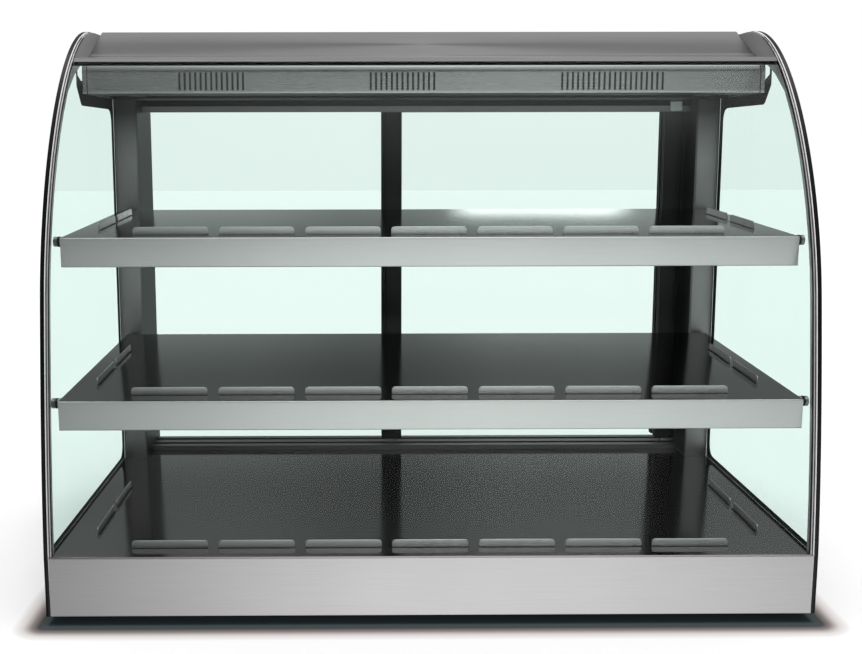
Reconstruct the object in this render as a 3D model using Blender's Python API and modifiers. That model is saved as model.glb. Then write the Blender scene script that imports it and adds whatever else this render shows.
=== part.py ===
"""Countertop hot food display case with a curved glass front and two tilted shelves.

The case stands on four rubber feet, faces -Y, and has its origin at the middle of its
footprint on the surface it stands on. All lengths are metres. Places across the depth are
given as the distance behind the front plane, and heights as the height above the floor.
"""
import math

import bmesh
import bpy
from mathutils import Matrix, Vector

# Driving dimensions
WIDTH = 0.900
DEPTH = 0.525
FOOT_HEIGHT = 0.012
BASE_HEIGHT = 0.072
ROOF_RISE = 0.700
GLASS = 0.005
SHEET = 0.0015
GAP = 0.0003

# Levels above the floor
DECK_Z = FOOT_HEIGHT + BASE_HEIGHT
ROOF_Z = FOOT_HEIGHT + ROOF_RISE
CANOPY_Z = FOOT_HEIGHT + 0.610
NOSE_TOP_Z = FOOT_HEIGHT + 0.652

# Half widths
INNER_X = WIDTH / 2 - GLASS - GAP
ARCH_THICKNESS = 0.0035
ROOF_X = INNER_X - ARCH_THICKNESS - GAP

# Rear posts and the doors that slide between them
POST_WIDTH = 0.0337
POST_FRONT = 0.413
POST_X = INNER_X - POST_WIDTH
TRACK_FRONT = 0.454
TRACK_DEPTH = 0.058
TRACK_RISE = 0.0075
GROOVE = 0.010
DOOR_PLANES = {"right": 0.471, "left": 0.495}
DOOR_WIDTH = 0.4605
DOOR_LEFT_EDGE = -0.0520
DOOR_GLASS = 0.004
STILE_WIDTH = 0.031
STILE_DEPTH = 0.012
ROLLER_RADIUS = 0.005

# Shelves: front edge behind the front plane, top of the front edge above the floor
SHELF_TILT = math.radians(2.1)
SHELF_HALF_WIDTH = 0.433
SHELF_REAR = 0.406
SHELF_LIP = 0.035
SHELVES = {"mid": (0.0248, FOOT_HEIGHT + 0.2508), "top": (0.0615, FOOT_HEIGHT + 0.4379)}
PEG_BEHIND_FRONT = 0.018
PEG_RADIUS = 0.006

# Fence tabs that stand on the deck and on both shelves
TAB_LENGTH = 0.0905
TAB_PITCH = 0.1029
TAB_HEIGHT = 0.0095
TAB_CORNER = 0.005
FRONT_TABS = 7
FENCE_SETBACK = 0.029
SIDE_FENCE_X = 0.405
SIDE_TAB_STARTS = (0.075, 0.178)

# Rear control panel
PANEL_REAR = 0.504
KNOB_X = -0.300
SWITCH_XS = {"power": -0.215, "lamp": -0.170}
PILOT_X = -0.125
INLET_X = 0.300
CONTROL_Z = FOOT_HEIGHT + 0.036
ROCKER_TILT = math.radians(8)
SWITCH_CUTOUT = (0.0100, 0.0130)
INLET_CUTOUT = (0.0140, 0.0110)
SHAFT_HOLE_RADIUS = 0.005
PILOT_HOLE_RADIUS = 0.006
VENT_SLOTS = 12
VENT_START = -0.020
VENT_PITCH = 0.018
VENT_WIDTH = 0.004
VENT_HALF_HEIGHT = 0.018
FOOT_X = 0.400
FOOT_BEHIND = {"front": 0.050, "rear": 0.465}
TERMINALS = 4
TERMINAL_PITCH = 0.0135

ROUND = 24


def y_at(behind_front):
    """World Y of a place given as the distance behind the front plane."""
    return behind_front - DEPTH / 2


def clear_scene():
    """Remove what the file opened with."""
    for existing in list(bpy.data.objects):
        bpy.data.objects.remove(existing, do_unlink=True)


def collection(name):
    """New collection under the scene's own."""
    made = bpy.data.collections.new(name)
    bpy.context.scene.collection.children.link(made)
    return made


clear_scene()
PARTS = collection("hot_food_display_case")
CUTTERS = collection("cutters")


def material(name, colour, roughness, metallic=0.0):
    """Principled material for one finish."""
    made = bpy.data.materials.new(name)
    made.use_nodes = True
    shader = made.node_tree.nodes["Principled BSDF"]
    shader.inputs["Base Color"].default_value = (*colour, 1.0)
    shader.inputs["Roughness"].default_value = roughness
    shader.inputs["Metallic"].default_value = metallic
    return made


STEEL = material("brushed_steel", (0.55, 0.55, 0.55), 0.35, 1.0)
MIRROR = material("mirror_steel", (0.20, 0.20, 0.20), 0.12, 1.0)
GALVANISED = material("galvanised_steel", (0.45, 0.46, 0.47), 0.5, 1.0)
CLEAR = material("clear_glass", (0.80, 0.92, 0.88), 0.05)
ALUMINIUM = material("anodised_aluminium", (0.60, 0.61, 0.62), 0.4, 1.0)
BLACK_METAL = material("black_anodised_aluminium", (0.02, 0.02, 0.02), 0.45, 0.6)
BLACK_PLASTIC = material("black_plastic", (0.02, 0.02, 0.02), 0.45)
RED_PLASTIC = material("red_plastic", (0.60, 0.03, 0.02), 0.3)
AMBER_PLASTIC = material("amber_plastic", (0.85, 0.35, 0.04), 0.2)
NYLON = material("white_nylon", (0.80, 0.80, 0.78), 0.5)
RUBBER = material("black_rubber", (0.03, 0.03, 0.03), 0.9)
CERAMIC = material("white_ceramic", (0.85, 0.83, 0.78), 0.4)
QUARTZ = material("quartz_glass", (0.90, 0.80, 0.70), 0.1)
SHEATH = material("heater_sheath", (0.25, 0.23, 0.21), 0.5, 1.0)


def finish_mesh(name, bm, finish, place=PARTS, smooth=False):
    """Turn a bmesh into a named object in a collection."""
    bmesh.ops.recalc_face_normals(bm, faces=bm.faces)
    mesh = bpy.data.meshes.new(name)
    bm.to_mesh(mesh)
    bm.free()
    if smooth:
        mesh.shade_smooth()
        mesh.set_sharp_from_angle(angle=math.radians(40))
    mesh.materials.append(finish)
    made = bpy.data.objects.new(name, mesh)
    place.objects.link(made)
    return made


def make_cutter(made):
    """Keep a helper shape out of the model."""
    made.hide_render = True
    made.display_type = "WIRE"
    return made


def boolean(target, other, operation):
    """Cut the target with another object, or join that object to it."""
    step = target.modifiers.new(operation.lower(), "BOOLEAN")
    step.operation = operation
    step.solver = "EXACT"
    step.object = make_cutter(other)


def box_in(bm, low, high):
    """Add a box between two corners and return its vertices."""
    low, high = Vector(low), Vector(high)
    size = high - low
    place = Matrix.Translation((low + high) / 2) @ Matrix.Diagonal((*size, 1.0))
    return bmesh.ops.create_cube(bm, size=1.0, matrix=place)["verts"]


def block(name, low, high, finish, place=PARTS):
    """A box given by its lowest and highest corners."""
    bm = bmesh.new()
    box_in(bm, low, high)
    return finish_mesh(name, bm, finish, place)


TURNS = {
    "X": Matrix.Rotation(math.radians(90), 4, "Y"),
    "Y": Matrix.Rotation(math.radians(-90), 4, "X"),
    "Z": Matrix.Identity(4),
}


def rod(name, centre, axis, radius, length, finish, place=PARTS, sides=ROUND):
    """A cylinder along a world axis."""
    bm = bmesh.new()
    bmesh.ops.create_cone(
        bm, cap_ends=True, segments=sides, radius1=radius, radius2=radius, depth=length
    )
    made = finish_mesh(name, bm, finish, place, smooth=True)
    made.matrix_world = Matrix.Translation(centre) @ TURNS[axis]
    return made


def turned(name, profile, place_at, axis, finish, steps=ROUND):
    """A turned piece: the profile is radius and height pairs, from the top down."""
    bm = bmesh.new()
    corners = [bm.verts.new((radius, 0.0, height)) for radius, height in profile]
    for first, second in zip(corners, corners[1:]):
        bm.edges.new((first, second))
    mesh = bpy.data.meshes.new(name)
    bm.to_mesh(mesh)
    bm.free()
    mesh.materials.append(finish)
    made = bpy.data.objects.new(name, mesh)
    PARTS.objects.link(made)
    made.matrix_world = Matrix.Translation(place_at) @ TURNS[axis]
    screw = made.modifiers.new("screw", "SCREW")
    screw.steps = steps
    screw.render_steps = steps
    screw.use_merge_vertices = True
    screw.merge_threshold = 0.00001
    screw.use_smooth_shade = True
    return made


def along(axis, distance, first, second):
    """World point of a section point, at a distance along the axis it is extruded on.

    A section across X holds (y, z), one across Y holds (x, z), one across Z holds (x, y).
    """
    if axis == "X":
        return (distance, first, second)
    if axis == "Y":
        return (first, distance, second)
    return (first, second, distance)


def folded_sheet(name, path, axis, start, stop, finish, thickness=SHEET, side=1.0, loop=False):
    """Sheet bent along a section path and extruded on an axis.

    The path is one face of the sheet, and side picks where the thickness goes.
    """
    bm = bmesh.new()
    near = [bm.verts.new(along(axis, start, *point)) for point in path]
    far = [bm.verts.new(along(axis, stop, *point)) for point in path]
    count = len(path)
    for index in range(count if loop else count - 1):
        after = (index + 1) % count
        bm.faces.new((near[index], near[after], far[after], far[index]))
    mesh = bpy.data.meshes.new(name)
    bm.to_mesh(mesh)
    bm.free()
    mesh.materials.append(finish)
    made = bpy.data.objects.new(name, mesh)
    PARTS.objects.link(made)
    shell = made.modifiers.new("thickness", "SOLIDIFY")
    shell.thickness = thickness
    shell.offset = side
    shell.use_even_offset = True
    return made


def extrusion(name, section, axis, start, stop, finish, place=PARTS):
    """Solid bar with a closed section, as a flat outline curve with thickness."""
    outline = bpy.data.curves.new(name, "CURVE")
    outline.dimensions = "2D"
    outline.fill_mode = "BOTH"
    outline.extrude = abs(stop - start) / 2
    spline = outline.splines.new("POLY")
    spline.points.add(len(section) - 1)
    for point, (first, second) in zip(spline.points, section):
        point.co = (first, second, 0.0, 1.0)
    spline.use_cyclic_u = True
    outline.materials.append(finish)
    made = bpy.data.objects.new(name, outline)
    place.objects.link(made)
    middle = (start + stop) / 2
    if axis == "X":
        made.matrix_world = Matrix.Translation((middle, 0, 0)) @ Matrix(
            ((0, 0, 1, 0), (1, 0, 0, 0), (0, 1, 0, 0), (0, 0, 0, 1))
        )
    else:
        made.matrix_world = Matrix.Translation((0, 0, middle))
    return made


def curve_to_mesh(source):
    """Replace a curve object by a welded mesh object, so that it can be cut."""
    bpy.context.view_layer.update()
    graph = bpy.context.evaluated_depsgraph_get()
    mesh = bpy.data.meshes.new_from_object(source.evaluated_get(graph))
    bm = bmesh.new()
    bm.from_mesh(mesh)
    bmesh.ops.remove_doubles(bm, verts=bm.verts, dist=0.00001)
    bmesh.ops.recalc_face_normals(bm, faces=bm.faces)
    bm.to_mesh(mesh)
    bm.free()
    name = source.name
    places = list(source.users_collection)
    matrix = source.matrix_world.copy()
    bpy.data.objects.remove(source, do_unlink=True)
    made = bpy.data.objects.new(name, mesh)
    for place in places:
        place.objects.link(made)
    made.matrix_world = matrix
    return made


def bezier(ends, steps):
    """Points along one cubic Bezier, without its last point."""
    start, pull_start, pull_end, end = (Vector(point) for point in ends)
    points = []
    for step in range(steps):
        t = step / steps
        s = 1.0 - t
        spot = start * s**3 + pull_start * (3 * s * s * t) + pull_end * (3 * s * t * t) + end * t**3
        points.append((spot.x, spot.y))
    return points


def arc(centre, radius, from_degrees, to_degrees, steps):
    """Points along an arc in a section, both ends included."""
    points = []
    for step in range(steps + 1):
        turn = math.radians(from_degrees + (to_degrees - from_degrees) * step / steps)
        points.append((centre[0] + radius * math.cos(turn), centre[1] + radius * math.sin(turn)))
    return points


# The side profile: a nearly upright front that leans in and then sweeps over to the roof
FRONT_FOOT = (0.0, DECK_Z)
FRONT_KNEE = (0.030, FOOT_HEIGHT + 0.370)
FRONT_CROWN = (0.300, FOOT_HEIGHT + 0.6955)
LOWER_CURVE = (
    FRONT_FOOT,
    (0.004, FOOT_HEIGHT + 0.172),
    (0.0161, FOOT_HEIGHT + 0.271),
    FRONT_KNEE,
)
UPPER_CURVE = (
    FRONT_KNEE,
    (0.0523, FOOT_HEIGHT + 0.5284),
    (0.168, FRONT_CROWN[1]),
    FRONT_CROWN,
)


def front_profile():
    """The side profile from the deck to the crown, as (behind front, height) pairs."""
    return bezier(LOWER_CURVE, 5) + bezier(UPPER_CURVE, 14) + [FRONT_CROWN]


def inset(path, distance):
    """The same path moved towards the inside of the case."""
    moved = []
    for index, point in enumerate(path):
        before = Vector(path[max(index - 1, 0)])
        after = Vector(path[min(index + 1, len(path) - 1)])
        heading = (after - before).normalized()
        moved.append((point[0] + heading.y * distance, point[1] - heading.x * distance))
    return moved


def section(points):
    """Section points with the distance behind the front turned into world Y."""
    return [(y_at(behind), height) for behind, height in points]


# ---- Base -------------------------------------------------------------------------------

def base():
    """Pan, front fascia, rear control panel and feet."""
    low = FOOT_HEIGHT
    under_deck = DECK_Z - SHEET - GAP
    return_depth = 0.012
    pan_front = return_depth + GAP
    folded_sheet(
        "base_pan",
        [(-INNER_X, under_deck), (-INNER_X, low), (INNER_X, low), (INNER_X, under_deck)],
        "Y", y_at(pan_front), y_at(DEPTH - GAP), GALVANISED, side=1.0,
    )
    folded_sheet(
        "base_front_panel",
        section([(return_depth, low), (0, low), (0, under_deck), (return_depth, under_deck)]),
        "X", -INNER_X, INNER_X, STEEL, side=1.0,
    )
    panel_x = INNER_X - SHEET - GAP
    panel_low = low + SHEET + GAP
    flange = PANEL_REAR - 0.010
    panel = folded_sheet(
        "base_rear_panel",
        section([
            (flange, panel_low), (PANEL_REAR, panel_low),
            (PANEL_REAR, under_deck), (flange, under_deck),
        ]),
        "X", -panel_x, panel_x, STEEL, side=-1.0,
    )
    boolean(panel, panel_holes(), "DIFFERENCE")
    feet()


def panel_holes():
    """One cutter for every opening in the rear control panel."""
    front, rear = y_at(PANEL_REAR) - 0.004, y_at(PANEL_REAR) + 0.002
    bm = bmesh.new()
    rectangles = [(x, SWITCH_CUTOUT) for x in SWITCH_XS.values()] + [(INLET_X, INLET_CUTOUT)]
    for x, (half_width, half_height) in rectangles:
        box_in(
            bm, (x - half_width, front, CONTROL_Z - half_height),
            (x + half_width, rear, CONTROL_Z + half_height),
        )
    for x, radius in ((KNOB_X, SHAFT_HOLE_RADIUS), (PILOT_X, PILOT_HOLE_RADIUS)):
        place = Matrix.Translation((x, (front + rear) / 2, CONTROL_Z)) @ TURNS["Y"]
        bmesh.ops.create_cone(
            bm, cap_ends=True, segments=ROUND, radius1=radius, radius2=radius,
            depth=rear - front, matrix=place,
        )
    for index in range(VENT_SLOTS):
        x = VENT_START + VENT_PITCH * index
        box_in(
            bm, (x, front, CONTROL_Z - VENT_HALF_HEIGHT),
            (x + VENT_WIDTH, rear, CONTROL_Z + VENT_HALF_HEIGHT),
        )
    return finish_mesh("panel_holes", bm, STEEL, CUTTERS)


def feet():
    """Four turned rubber feet, a gap short of the base pan."""
    top = FOOT_HEIGHT - GAP
    profile = [(0.0, top), (0.017, top), (0.015, 0.001), (0.014, 0.0), (0.0, 0.0)]
    for side, x in (("left", -FOOT_X), ("right", FOOT_X)):
        for end, behind in FOOT_BEHIND.items():
            turned(f"foot_{end}_{side}", profile, (x, y_at(behind), 0.0), "Z", RUBBER)


# ---- Deck, shelves and their fences --------------------------------------------------------

def tab_in(bm, low, high, lean_axis):
    """One fence tab with two rounded top corners; lean_axis is the one it is thin along."""
    corners = box_in(bm, low, high)
    edges = set()
    for corner in corners:
        for edge in corner.link_edges:
            run = edge.verts[0].co - edge.verts[1].co
            middle = (edge.verts[0].co + edge.verts[1].co) / 2
            if abs(run[lean_axis]) > 0.0005 and abs(run.length - abs(run[lean_axis])) < 1e-6:
                if middle.z > (low[2] + high[2]) / 2:
                    edges.add(edge)
    bmesh.ops.bevel(
        bm, geom=list(edges), offset=TAB_CORNER, segments=3, profile=0.5, affect="EDGES"
    )


def fence(name, front, top, sink):
    """All the tabs of one level as one shape, to be joined to its plate."""
    bm = bmesh.new()
    half = TAB_LENGTH / 2
    for index in range(FRONT_TABS):
        x = (index - (FRONT_TABS - 1) / 2) * TAB_PITCH
        tab_in(
            bm, (x - half, front + FENCE_SETBACK, top - sink),
            (x + half, front + FENCE_SETBACK + SHEET, top + TAB_HEIGHT), 1,
        )
    for x in (-SIDE_FENCE_X, SIDE_FENCE_X):
        for start in SIDE_TAB_STARTS:
            tab_in(
                bm, (x - SHEET / 2, front + start, top - sink),
                (x + SHEET / 2, front + start + TAB_LENGTH, top + TAB_HEIGHT), 0,
            )
    return finish_mesh(name, bm, MIRROR, CUTTERS)


def deck():
    """Heated deck plate with its fence."""
    plate = block(
        "deck_plate", (-INNER_X, y_at(0), DECK_Z - SHEET), (INNER_X, y_at(DEPTH - GAP), DECK_Z),
        MIRROR,
    )
    boolean(plate, fence("deck_fence", y_at(0), DECK_Z, SHEET / 2), "UNION")


def shelf(level):
    """Tilted shelf: a plate with a deep front lip, a hem, two side skirts and its fence.

    It is made flat with its front top edge on the origin, then tilted up towards the rear.
    """
    behind, height = SHELVES[level]
    length = (SHELF_REAR - behind) / math.cos(SHELF_TILT)
    skirt = 0.014
    hem = 0.010
    place = Matrix.Translation((0, y_at(behind), height)) @ Matrix.Rotation(SHELF_TILT, 4, "X")
    plate = folded_sheet(
        f"{level}_shelf",
        [(length, 0), (0, 0), (0, -SHELF_LIP), (hem, -SHELF_LIP)],
        "X", -SHELF_HALF_WIDTH, SHELF_HALF_WIDTH, MIRROR, side=-1.0,
    )
    plate.matrix_world = place
    bm = bmesh.new()
    for side in (-1, 1):
        outer = side * SHELF_HALF_WIDTH
        inner = outer - side * SHEET
        box_in(
            bm, (min(outer, inner), SHEET / 2, -skirt), (max(outer, inner), length, -SHEET / 2)
        )
    skirts = finish_mesh(f"{level}_shelf_skirts", bm, MIRROR, CUTTERS)
    skirts.matrix_world = place
    tabs = fence(f"{level}_shelf_fence", 0.0, 0.0, SHEET / 2)
    tabs.matrix_world = place
    boolean(plate, skirts, "UNION")
    boolean(plate, tabs, "UNION")
    shelf_pegs(level, behind, height)
    shelf_brackets(level, behind, height)


def shelf_pegs(level, behind, height):
    """Round spacers between the shelf's side skirts and the side glasses."""
    inner = SHELF_HALF_WIDTH + GAP
    rise = PEG_BEHIND_FRONT * math.tan(SHELF_TILT)
    for side, sign in (("left", -1), ("right", 1)):
        rod(
            f"{level}_shelf_peg_{side}",
            (sign * (inner + INNER_X) / 2, y_at(behind + PEG_BEHIND_FRONT), height + rise - 0.0065),
            "X", PEG_RADIUS, INNER_X - inner, STEEL,
        )


def shelf_brackets(level, behind, height):
    """Angle brackets on the rear posts that carry the back of the shelf."""
    reach, drop, thick = 0.024, 0.030, 0.002
    rear = POST_FRONT - GAP
    under = height + (rear - reach - behind) * math.tan(SHELF_TILT) - SHEET - 2 * GAP
    for side, sign in (("left", -1), ("right", 1)):
        ends = sorted((sign * (POST_X + 0.003), sign * (SHELF_HALF_WIDTH - SHEET - 0.002)))
        folded_sheet(
            f"{level}_shelf_bracket_{side}",
            section([(rear, under - drop), (rear, under), (rear - reach, under)]),
            "X", ends[0], ends[1], STEEL, thickness=thick, side=-1.0,
        )


# ---- Glass, arches and posts -----------------------------------------------------------------

def side_walls():
    """Side glasses, the arches inside them and the square rear posts."""
    outline = [(0.0, FOOT_HEIGHT)] + front_profile()
    outline += [(DEPTH, FRONT_CROWN[1]), (DEPTH, FOOT_HEIGHT)]
    band = inset(front_profile(), 0.0006)[1:]
    band_start = (0.0006, DECK_Z + GAP)
    inner = inset(bezier(LOWER_CURVE, 5) + bezier(UPPER_CURVE, 14)[:9], 0.012)[1:]
    under = FOOT_HEIGHT + 0.653
    arch = [band_start] + band + [(0.410, FRONT_CROWN[1]), (0.410, under), (0.235, under)]
    arch += [(0.190, FOOT_HEIGHT + 0.633)] + list(reversed(inner)) + [(0.0126, DECK_Z + GAP)]
    inside = WIDTH / 2 - GLASS
    for side, sign in (("left", -1), ("right", 1)):
        extrusion(
            f"side_glass_{side}", section(outline), "X",
            sign * inside, sign * WIDTH / 2, CLEAR,
        )
        extrusion(
            f"glass_arch_{side}", section(arch), "X",
            sign * (INNER_X - ARCH_THICKNESS), sign * INNER_X, ALUMINIUM,
        )
        xs = sorted((sign * POST_X, sign * INNER_X))
        front, rear = y_at(POST_FRONT), y_at(DEPTH - SHEET - GAP)
        folded_sheet(
            f"rear_post_{side}",
            [(xs[0], front), (xs[1], front), (xs[1], rear), (xs[0], rear)],
            "Z", DECK_Z + GAP, ROOF_Z - SHEET - GAP, STEEL, side=-1.0, loop=True,
        )


FRONT_GLASS_THICKNESS = 0.004
FRONT_GLASS_INSET = 0.0015
LAST_FACET = 0.72


def front_glass():
    """Curved pane between the arches, with a bright channel along its top edge."""
    path = inset(bezier(LOWER_CURVE, 5) + bezier(UPPER_CURVE, 14)[:11], FRONT_GLASS_INSET)
    path[0] = (FRONT_GLASS_INSET, DECK_Z + GAP)
    path[-1] = tuple(Vector(path[-2]).lerp(Vector(path[-1]), LAST_FACET))
    folded_sheet(
        "front_glass", section(path), "X", -ROOF_X, ROOF_X, CLEAR,
        thickness=FRONT_GLASS_THICKNESS, side=1.0,
    )
    end, before = Vector(path[-1]), Vector(path[-2])
    heading = (end - before).normalized()
    inward = Vector((heading.y, -heading.x))
    wall = 0.0008
    leg = 0.008
    outer = end - inward * (wall + GAP)
    inner = end + inward * (FRONT_GLASS_THICKNESS + wall + GAP)
    cap = heading * (wall + GAP)
    channel = [outer - heading * leg, outer + cap, inner + cap, inner - heading * leg]
    folded_sheet(
        "front_glass_trim", section([tuple(point) for point in channel]), "X",
        -ROOF_X, ROOF_X, ALUMINIUM, thickness=wall, side=1.0,
    )


# ---- Canopy and roof ---------------------------------------------------------------------------

NOSE_FRONT = 0.217
NOSE_RADIUS = 0.014
CHIN_RADIUS = 0.002
CAP_THICKNESS = 0.006
HOOD_X = 0.4390 - CAP_THICKNESS - GAP
HOOD_BACK = 0.262


def nose_path():
    """Outside of the lamp hood, from its top rear edge over the nose to the underside."""
    top = arc((NOSE_FRONT + NOSE_RADIUS, NOSE_TOP_Z - NOSE_RADIUS), NOSE_RADIUS, 90, 180, 6)
    chin = arc((NOSE_FRONT + CHIN_RADIUS, CANOPY_Z + CHIN_RADIUS), CHIN_RADIUS, 180, 270, 4)
    return [(HOOD_BACK, NOSE_TOP_Z)] + top + chin


def canopy():
    """Lamp hood with its end caps, the reflector under it, the heat lamp and its holders."""
    folded_sheet(
        "canopy_hood", section(nose_path() + [(HOOD_BACK, CANOPY_Z)]), "X",
        -HOOD_X, HOOD_X, STEEL, side=-1.0,
    )
    cap_rear = POST_FRONT - 2 * GAP
    cap = nose_path() + [(cap_rear, CANOPY_Z), (cap_rear, NOSE_TOP_Z)]
    for side, sign in (("left", -1), ("right", 1)):
        extrusion(
            f"canopy_end_cap_{side}", section(cap), "X",
            sign * (HOOD_X + GAP), sign * (HOOD_X + GAP + CAP_THICKNESS), STEEL,
        )
    reflector_start = HOOD_BACK + 2 * GAP
    flange = TRACK_FRONT - GAP - SHEET
    trough = [
        (reflector_start, CANOPY_Z), (0.275, CANOPY_Z), (0.290, CANOPY_Z + 0.028),
        (0.345, CANOPY_Z + 0.028), (0.360, CANOPY_Z), (flange, CANOPY_Z), (flange, CANOPY_Z - 0.008),
    ]
    reflector = folded_sheet(
        "lamp_reflector", section(trough), "X", -HOOD_X, HOOD_X, MIRROR, side=-1.0,
    )
    notches = bmesh.new()
    for sign in (-1, 1):
        xs = sorted((sign * (POST_X - GAP), sign * WIDTH / 2))
        box_in(
            notches, (xs[0], y_at(POST_FRONT - GAP), CANOPY_Z - 0.010),
            (xs[1], y_at(DEPTH), CANOPY_Z + 0.010),
        )
    boolean(reflector, finish_mesh("post_notches", notches, MIRROR, CUTTERS), "DIFFERENCE")
    lamp_y, lamp_z = y_at(0.3175), CANOPY_Z + 0.012
    lamp_half = 0.380
    rod("heat_lamp_tube", (0, lamp_y, lamp_z), "X", 0.005, 2 * lamp_half, QUARTZ, sides=16)
    for side, sign in (("left", -1), ("right", 1)):
        xs = sorted((sign * (lamp_half + GAP), sign * (lamp_half + 0.022)))
        block(
            f"lamp_holder_{side}",
            (xs[0], lamp_y - 0.009, lamp_z - 0.010),
            (xs[1], lamp_y + 0.009, CANOPY_Z + 0.028 - SHEET - GAP), CERAMIC,
        )


def roof():
    """Sloped front panel, and flat panel with its rear fold."""
    slope_foot = (0.267, FOOT_HEIGHT + 0.661)
    slope_head = (0.346, ROOF_Z)
    folded_sheet(
        "roof_slope_panel",
        section([(slope_foot[0] - 0.0045, NOSE_TOP_Z + 0.0011), slope_foot, slope_head]),
        "X", -ROOF_X, ROOF_X, STEEL, side=1.0,
    )
    folded_sheet(
        "roof_top_panel",
        section([(slope_head[0] + SHEET / 2 + GAP, ROOF_Z), (DEPTH, ROOF_Z), (DEPTH, CANOPY_Z)]),
        "X", -ROOF_X, ROOF_X, STEEL, side=1.0,
    )


# ---- Rear doors ----------------------------------------------------------------------------------

LEDGE = 0.0042
LEDGE_MOUTH = -0.0005


def track_section(floor_z, rib_z, web, ledge=0.0, valance_z=None):
    """Outline of a two-groove door track with its web at floor_z and its ribs up to rib_z.

    A ledge of that height narrows the front half of each groove's mouth, for the rollers.
    A valance is a longer front rib that hides the doors' top rails.
    """
    rear = TRACK_FRONT + TRACK_DEPTH
    top = floor_z + web * (1 if rib_z > floor_z else -1)
    points = [(TRACK_FRONT, floor_z)]
    if valance_z is None:
        points.append((TRACK_FRONT, rib_z))
    else:
        valance_rear = TRACK_FRONT + VALANCE_THICKNESS
        points += [(TRACK_FRONT, valance_z), (valance_rear, valance_z), (valance_rear, rib_z)]
    for middle in sorted(DOOR_PLANES.values()):
        left, right = middle - GROOVE / 2, middle + GROOVE / 2
        if ledge:
            mouth = middle + LEDGE_MOUTH
            points += [(mouth, rib_z), (mouth, rib_z + ledge), (left, rib_z + ledge)]
        else:
            points.append((left, rib_z))
        points += [(left, top), (right, top), (right, rib_z)]
    return points + [(rear, rib_z), (rear, floor_z)]


TOP_TRACK_Z = (CANOPY_Z - 0.001, CANOPY_Z + 0.022)
VALANCE_Z = CANOPY_Z - 0.0165
VALANCE_THICKNESS = 0.009
TRACK_X = POST_X - GAP


def tracks():
    """Extruded tracks on the deck and under the roof."""
    floor_z = DECK_Z + GAP
    extrusion(
        "door_track_bottom", section(track_section(floor_z, DECK_Z + TRACK_RISE, 0.003)),
        "X", -TRACK_X, TRACK_X, ALUMINIUM,
    )
    low, high = TOP_TRACK_Z
    extrusion(
        "door_track_top", section(track_section(high, low, 0.003, LEDGE, VALANCE_Z)),
        "X", -TRACK_X, TRACK_X, ALUMINIUM,
    )


def door(side):
    """Sliding door hung on two rollers: pane, two edge stiles and a top rail."""
    middle = DOOR_PLANES[side]
    left, right = DOOR_LEFT_EDGE, DOOR_LEFT_EDGE + DOOR_WIDTH
    stile_low = DECK_Z + TRACK_RISE + 0.0080
    rail_top = TOP_TRACK_Z[0] - 0.001
    rail_low = rail_top - 0.014
    slot = DOOR_GLASS / 2 + GAP
    bite = 0.010
    block(
        f"{side}_door_glass",
        (left + STILE_WIDTH - bite, y_at(middle - DOOR_GLASS / 2), DECK_Z + 0.0045),
        (right - STILE_WIDTH + bite, y_at(middle + DOOR_GLASS / 2), rail_top - 0.004), CLEAR,
    )
    for end, edge, inward in (("left", left, 1), ("right", right, -1)):
        reach = edge + inward * STILE_WIDTH
        mouth = reach - inward * (bite + GAP)
        outline = [
            (edge, middle - STILE_DEPTH / 2), (reach, middle - STILE_DEPTH / 2),
            (reach, middle - slot), (mouth, middle - slot),
            (mouth, middle + slot), (reach, middle + slot),
            (reach, middle + STILE_DEPTH / 2), (edge, middle + STILE_DEPTH / 2),
        ]
        extrusion(
            f"{side}_door_stile_{end}", [(x, y_at(y)) for x, y in outline], "Z",
            stile_low, rail_top, BLACK_METAL,
        )
    rail_ends = (left + STILE_WIDTH + GAP, right - STILE_WIDTH - GAP)
    door_top_rail(side, middle, rail_ends, rail_low, rail_top)


HANGER_THICKNESS = 0.0015
HANGER_INSET = 0.045


def door_top_rail(side, middle, ends, low, top):
    """Channel on the pane's top edge, with two hanger plates that carry the rollers."""
    left, right = ends
    slot = DOOR_GLASS / 2 + GAP
    roof_of_slot = top - 0.004 + GAP
    outline = section([
        (middle - 0.005, low), (middle - 0.005, top), (middle + 0.005, top), (middle + 0.005, low),
        (middle + slot, low), (middle + slot, roof_of_slot),
        (middle - slot, roof_of_slot), (middle - slot, low),
    ])
    rail = curve_to_mesh(
        extrusion(f"{side}_door_top_rail", outline, "X", left, right, BLACK_METAL)
    )
    axle_z = roller_height()
    bm = bmesh.new()
    for x in (left + HANGER_INSET, right - HANGER_INSET):
        box_in(
            bm, (x - 0.006, y_at(middle + 0.0012), top - 0.002),
            (x + 0.006, y_at(middle + 0.0012) + HANGER_THICKNESS, axle_z + 0.003),
        )
    boolean(rail, finish_mesh(f"{side}_door_hangers", bm, BLACK_METAL, CUTTERS), "UNION")
    for end, x in (("left", left + HANGER_INSET), ("right", right - HANGER_INSET)):
        rod(
            f"{side}_door_roller_{end}", (x, y_at(middle - 0.0010), axle_z), "Y",
            ROLLER_RADIUS, 0.0036, NYLON,
        )


def roller_height():
    """Height of the roller axles, inside the grooves of the top track."""
    return TOP_TRACK_Z[0] + LEDGE + GAP + ROLLER_RADIUS


# ---- Electrical pieces -----------------------------------------------------------------------------

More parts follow.
